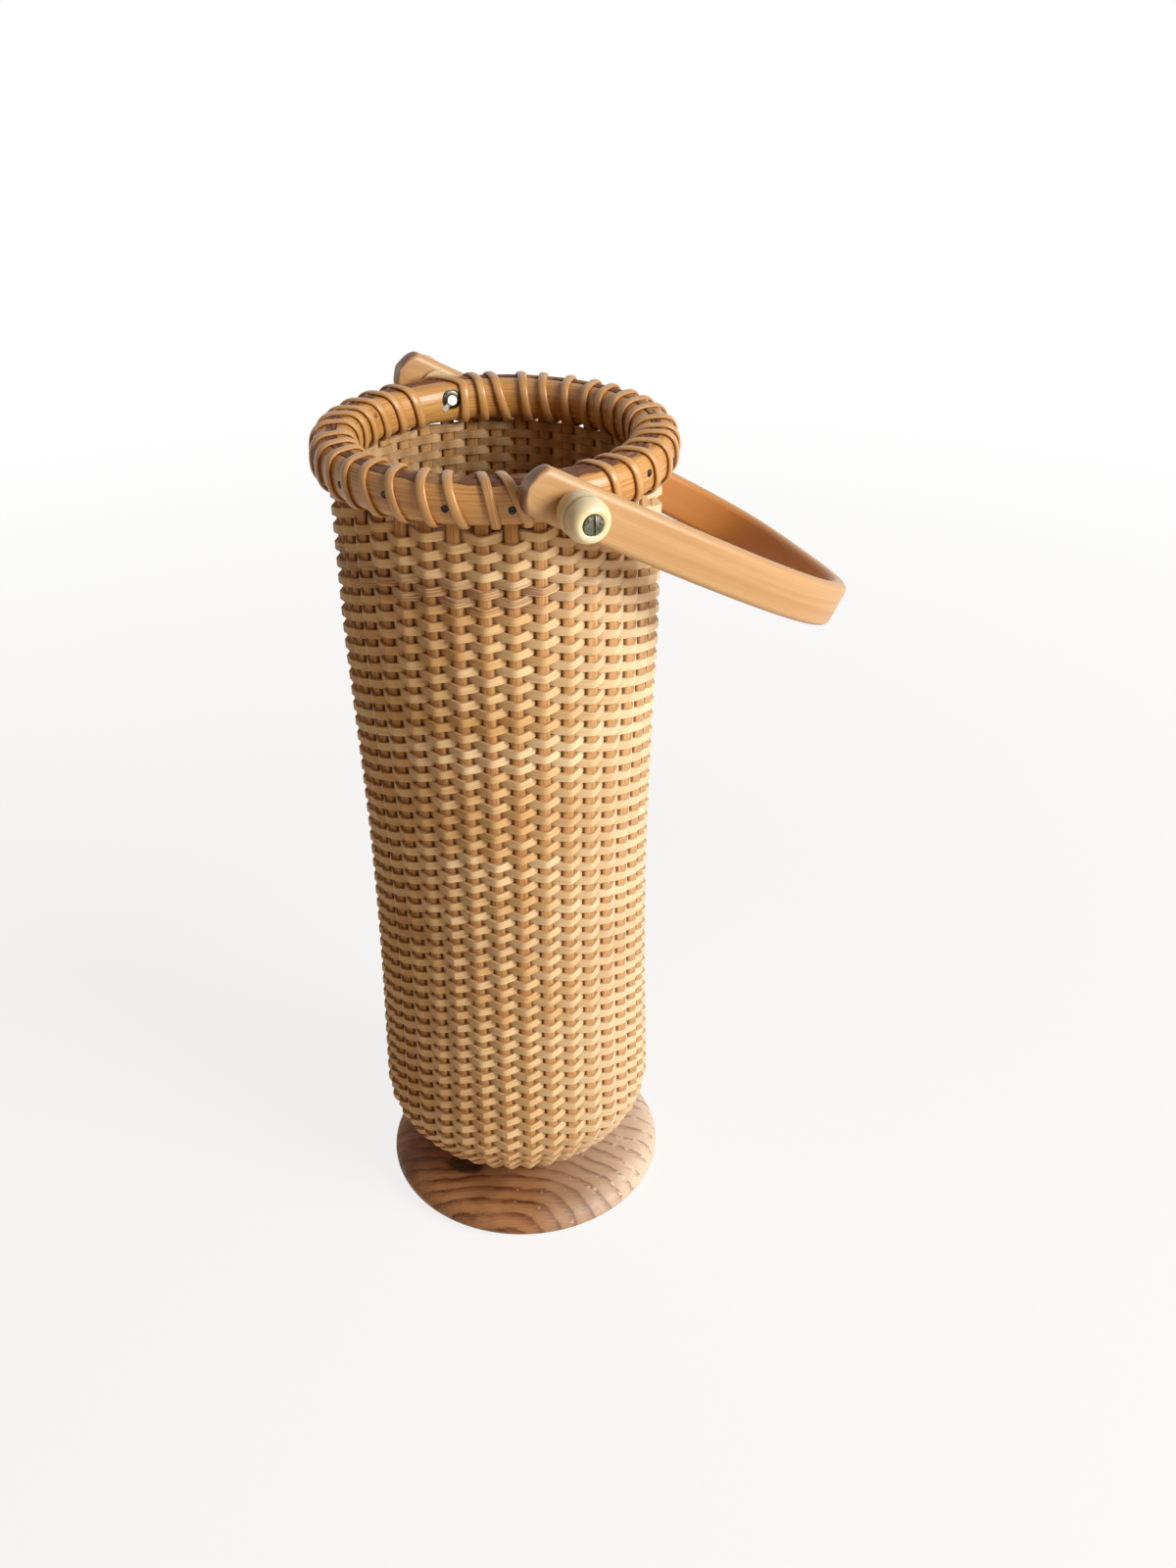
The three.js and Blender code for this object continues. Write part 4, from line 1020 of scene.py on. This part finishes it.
for place, side in pivot["sides"].items():
    made = [
        (newPiece(f"knob_{place}", alongPivot(knobMesh(), side), [bone]), "bone", "knob"),
        (newPiece(f"washer_{place}", alongPivot(washerMesh(), side), [bone]), "bone", "washer"),
        (screwPiece(f"pivot_screw_{place}", side), "dark_steel", "pivot_screw"),
        (newPiece(f"sawn_tag_{place}", tagMesh(side), [brightSteel]), "dark_steel", "pivot_screw"),
        (newPiece(f"burr_{place}", alongPivot(burrMesh(), side), [darkSteel]), "bright_steel", "burr"),
    ]
    for piece, slotName, node in made:
        crisp(piece.data)
        fitPiece(piece, "basket", slotName, f"{place}_{node}")
print("pivots fitted")


# Handle: a bent band along a squared bow, with ears that run on past the pivots
handle = {
    "reach": 127.6, "squareness": 3.3, "width": 15.3, "thickness": 6.4, "edge": 2.5, "armMiddle": 62.9,
    "droop": 29.6, "ear": 14.8, "earRound": 4.3, "earBlunt": 0.8,
    "stations": 150, "fineSteps": 4000, "earSteps": 16, "cornerSteps": 5,
}


def bandSection(halfWide, halfThick):
    edge = min(handle["edge"], halfWide * 0.9)
    section = []
    for x, y, start in ((1, 1, 0), (-1, 1, 90), (-1, -1, 180), (1, -1, 270)):
        section += arc(x * (halfWide - edge), y * (halfThick - edge), edge, edge, start, start + 90,
                       handle["cornerSteps"])
    return section


# places along the handle's middle, evenly spaced on the bow, each with half the band's width
def handleLine():
    fine = []
    for i in range(handle["fineSteps"] + 1):
        across, out = squaredRound(math.pi * i / handle["fineSteps"], handle["squareness"])
        fine.append(Vector((handle["reach"] * out, handle["armMiddle"] * across)))
    lengths = [0.0]
    for a, b in zip(fine, fine[1:]):
        lengths.append(lengths[-1] + (b - a).length)
    bow, spot = [], 0
    for i in range(handle["stations"] + 1):
        target = lengths[-1] * i / handle["stations"]
        while spot < len(fine) - 2 and lengths[spot + 1] < target:
            spot += 1
        share = (target - lengths[spot]) / (lengths[spot + 1] - lengths[spot])
        bow.append((fine[spot].lerp(fine[spot + 1], share), handle["width"] / 2))
    ear = []
    for i in range(handle["earSteps"] + 1):
        a = turn / 4 * (i + handle["earBlunt"]) / (handle["earSteps"] + handle["earBlunt"])
        along = handle["earRound"] * (1 - math.cos(a)) - handle["ear"]
        ear.append((Vector((along, handle["armMiddle"])), handle["width"] / 2 * math.sin(a)))
    return ear + bow + [(Vector((p.x, -p.y)), half) for p, half in reversed(ear)]


def handleMesh():
    line, thickness = handleLine(), handle["thickness"]
    rings, ends, paintedShadeInsides = [], [], []
    for i, (p, half) in enumerate(line):
        before, after = line[max(i - 1, 0)][0], line[min(i + 1, len(line) - 1)][0]
        along = (after - before).normalized()
        out = Vector((-along.y, along.x))
        section = bandSection(half, thickness / 2)
        rings.append([Vector((p.x + out.x * t, p.y + out.y * t, w)) * mm for w, t in section])
        # end grain shows on the round of the ears; painted warm shade makes the bow redder on its inner face
        past = clamped((-p.x - handle["ear"] + handle["earRound"]) / (0.4 * handle["earRound"]))
        ends += [past * clamped((thickness / 2 - abs(t)) * 1.6 / handle["edge"]) for w, t in section]
        onBow = clamped(p.x / handle["reach"] * 3 - 0.5)
        paintedShadeInsides += [onBow * clamped(-t / thickness * 5 - 1.0) for w, t in section]
    mesh = sweptMesh("handle", rings)
    markPoints(mesh, "endGrain", ends)
    markPoints(mesh, "paintedShadeInBow", paintedShadeInsides)
    droop = Matrix.Rotation(math.radians(handle["droop"]), 4, "Y")
    mesh.transform(Matrix.Translation((0, 0, basket["pivotHeight"] * mm)) @ droop)
    return mesh


handlePiece = newPiece("handle", handleMesh(), [bentWood])
cutAway(handlePiece, drills(pivot["hole"], *pivot["bore"]))
crisp(handlePiece.data)
fitPiece(handlePiece, "handle", "bent_wood", "bail_handle")
print("handle bent")


# CAD nodes that stay as they are
kept = {"base_plug": plugPine, "foot_screw_1": darkSteel, "foot_screw_2": darkSteel}
for node, material in kept.items():
    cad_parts[node].data.materials.clear()
    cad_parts[node].data.materials.append(material)
print("CAD pieces kept:", len(kept))


# Stage: a pale floor that keeps the shadow, a white world and one broad lamp from the right
stage = {
    "floor": 80.0, "paper": "#F0E2CC", "white": "#FFFFFF", "whiteNear": 0.84, "whiteFar": 1.0,
    "fade": (0.25, 1.0), "ambient": 0.16, "fill": "#FFD7A6",
    "key": 30.0, "keySize": 0.8, "keyPlace": (1.25, -0.72, 0.70), "keyAim": (0, 0, 0.17),
}


# the rays that show the background: straight from the camera, in gloss and through glass
def seenRays(add):
    path = add("LightPath").outputs
    shiny = add("MAXIMUM", [path["Is Glossy Ray"], path["Is Transmission Ray"]])
    return add("MAXIMUM", [path["Is Camera Ray"], shiny])


floorMaterial, addFloor = startMaterial("painted paper floor")
away = addFloor("VectorMath", [addFloor("TexCoord").outputs["Object"]], "LENGTH")
white = addFloor("MapRange", [away, *stage["fade"], stage["whiteNear"], stage["whiteFar"]])
share = addFloor("MULTIPLY", [seenRays(addFloor), white])
paper = addFloor("BsdfDiffuse", {"Color": srgb(stage["paper"])})
glow = addFloor("Emission", {"Color": srgb(stage["white"]), "Strength": 1.0})
addFloor("OutputMaterial", {"Surface": addFloor("MixShader", [share, paper, glow])})
half = stage["floor"] / 2
floorMesh = bpy.data.meshes.new("floor")
floorCorners = [(-half, -half, 0), (half, -half, 0), (half, half, 0), (-half, half, 0)]
floorMesh.from_pydata(floorCorners, [], [(0, 1, 2, 3)])
floor = newPiece("floor", floorMesh, [floorMaterial])

world = bpy.data.worlds.new("white room")
bpy.context.scene.world = world
world.use_nodes = True
world.node_tree.nodes.clear()
addWorld = partial(addNode, world.node_tree)
fill = addWorld("Background", {"Color": srgb(stage["fill"]), "Strength": stage["ambient"]})
backdrop = addWorld("Background", {"Color": srgb(stage["white"]), "Strength": 1.0})
addWorld("OutputWorld", {"Surface": addWorld("MixShader", [seenRays(addWorld), fill, backdrop])})

# the camera stands at the photograph's place, found from the rim, the foot and the handle
camera = {
    "place": (-160.5, -471.8, 464.9), "pitch": 30.48, "heading": -22.09, "roll": 0.43,
    "lens": 37.04, "sensor": 36.0, "near": 0.01,
}
heading, pitchDown, roll = [math.radians(camera[label]) for label in ("heading", "pitch", "roll")]
spinCamera = Matrix.Rotation(heading, 3, "Z")
forward = spinCamera @ Vector((0, math.cos(pitchDown), -math.sin(pitchDown)))
level = spinCamera @ Vector((1, 0, 0))
downward = forward.cross(level)
right = math.cos(roll) * level + math.sin(roll) * downward
upward = math.sin(roll) * level - math.cos(roll) * downward
cameraData = bpy.data.cameras.new("camera")
cameraData.lens = camera["lens"]
cameraData.sensor_width = camera["sensor"]
cameraData.clip_start = camera["near"]
cameraObject = newPiece("camera", cameraData)
cameraObject.matrix_world = Matrix.Translation(Vector(camera["place"]) * mm) @ Matrix(
    (right, upward, -forward)).transposed().to_4x4()
bpy.context.scene.camera = cameraObject

lampData = bpy.data.lights.new("key", "AREA")
lampData.energy = stage["key"]
lampData.size = stage["keySize"]
lamp = newPiece("key", lampData)
aim = Vector(stage["keyAim"])
lampPlace = aim + spinCamera @ Vector(stage["keyPlace"])
lampTurn = (aim - lampPlace).to_track_quat("-Z", "Y").to_matrix().to_4x4()
lamp.matrix_world = Matrix.Translation(lampPlace) @ lampTurn

bpy.context.scene.view_settings.view_transform = "Standard"
print("stage set")
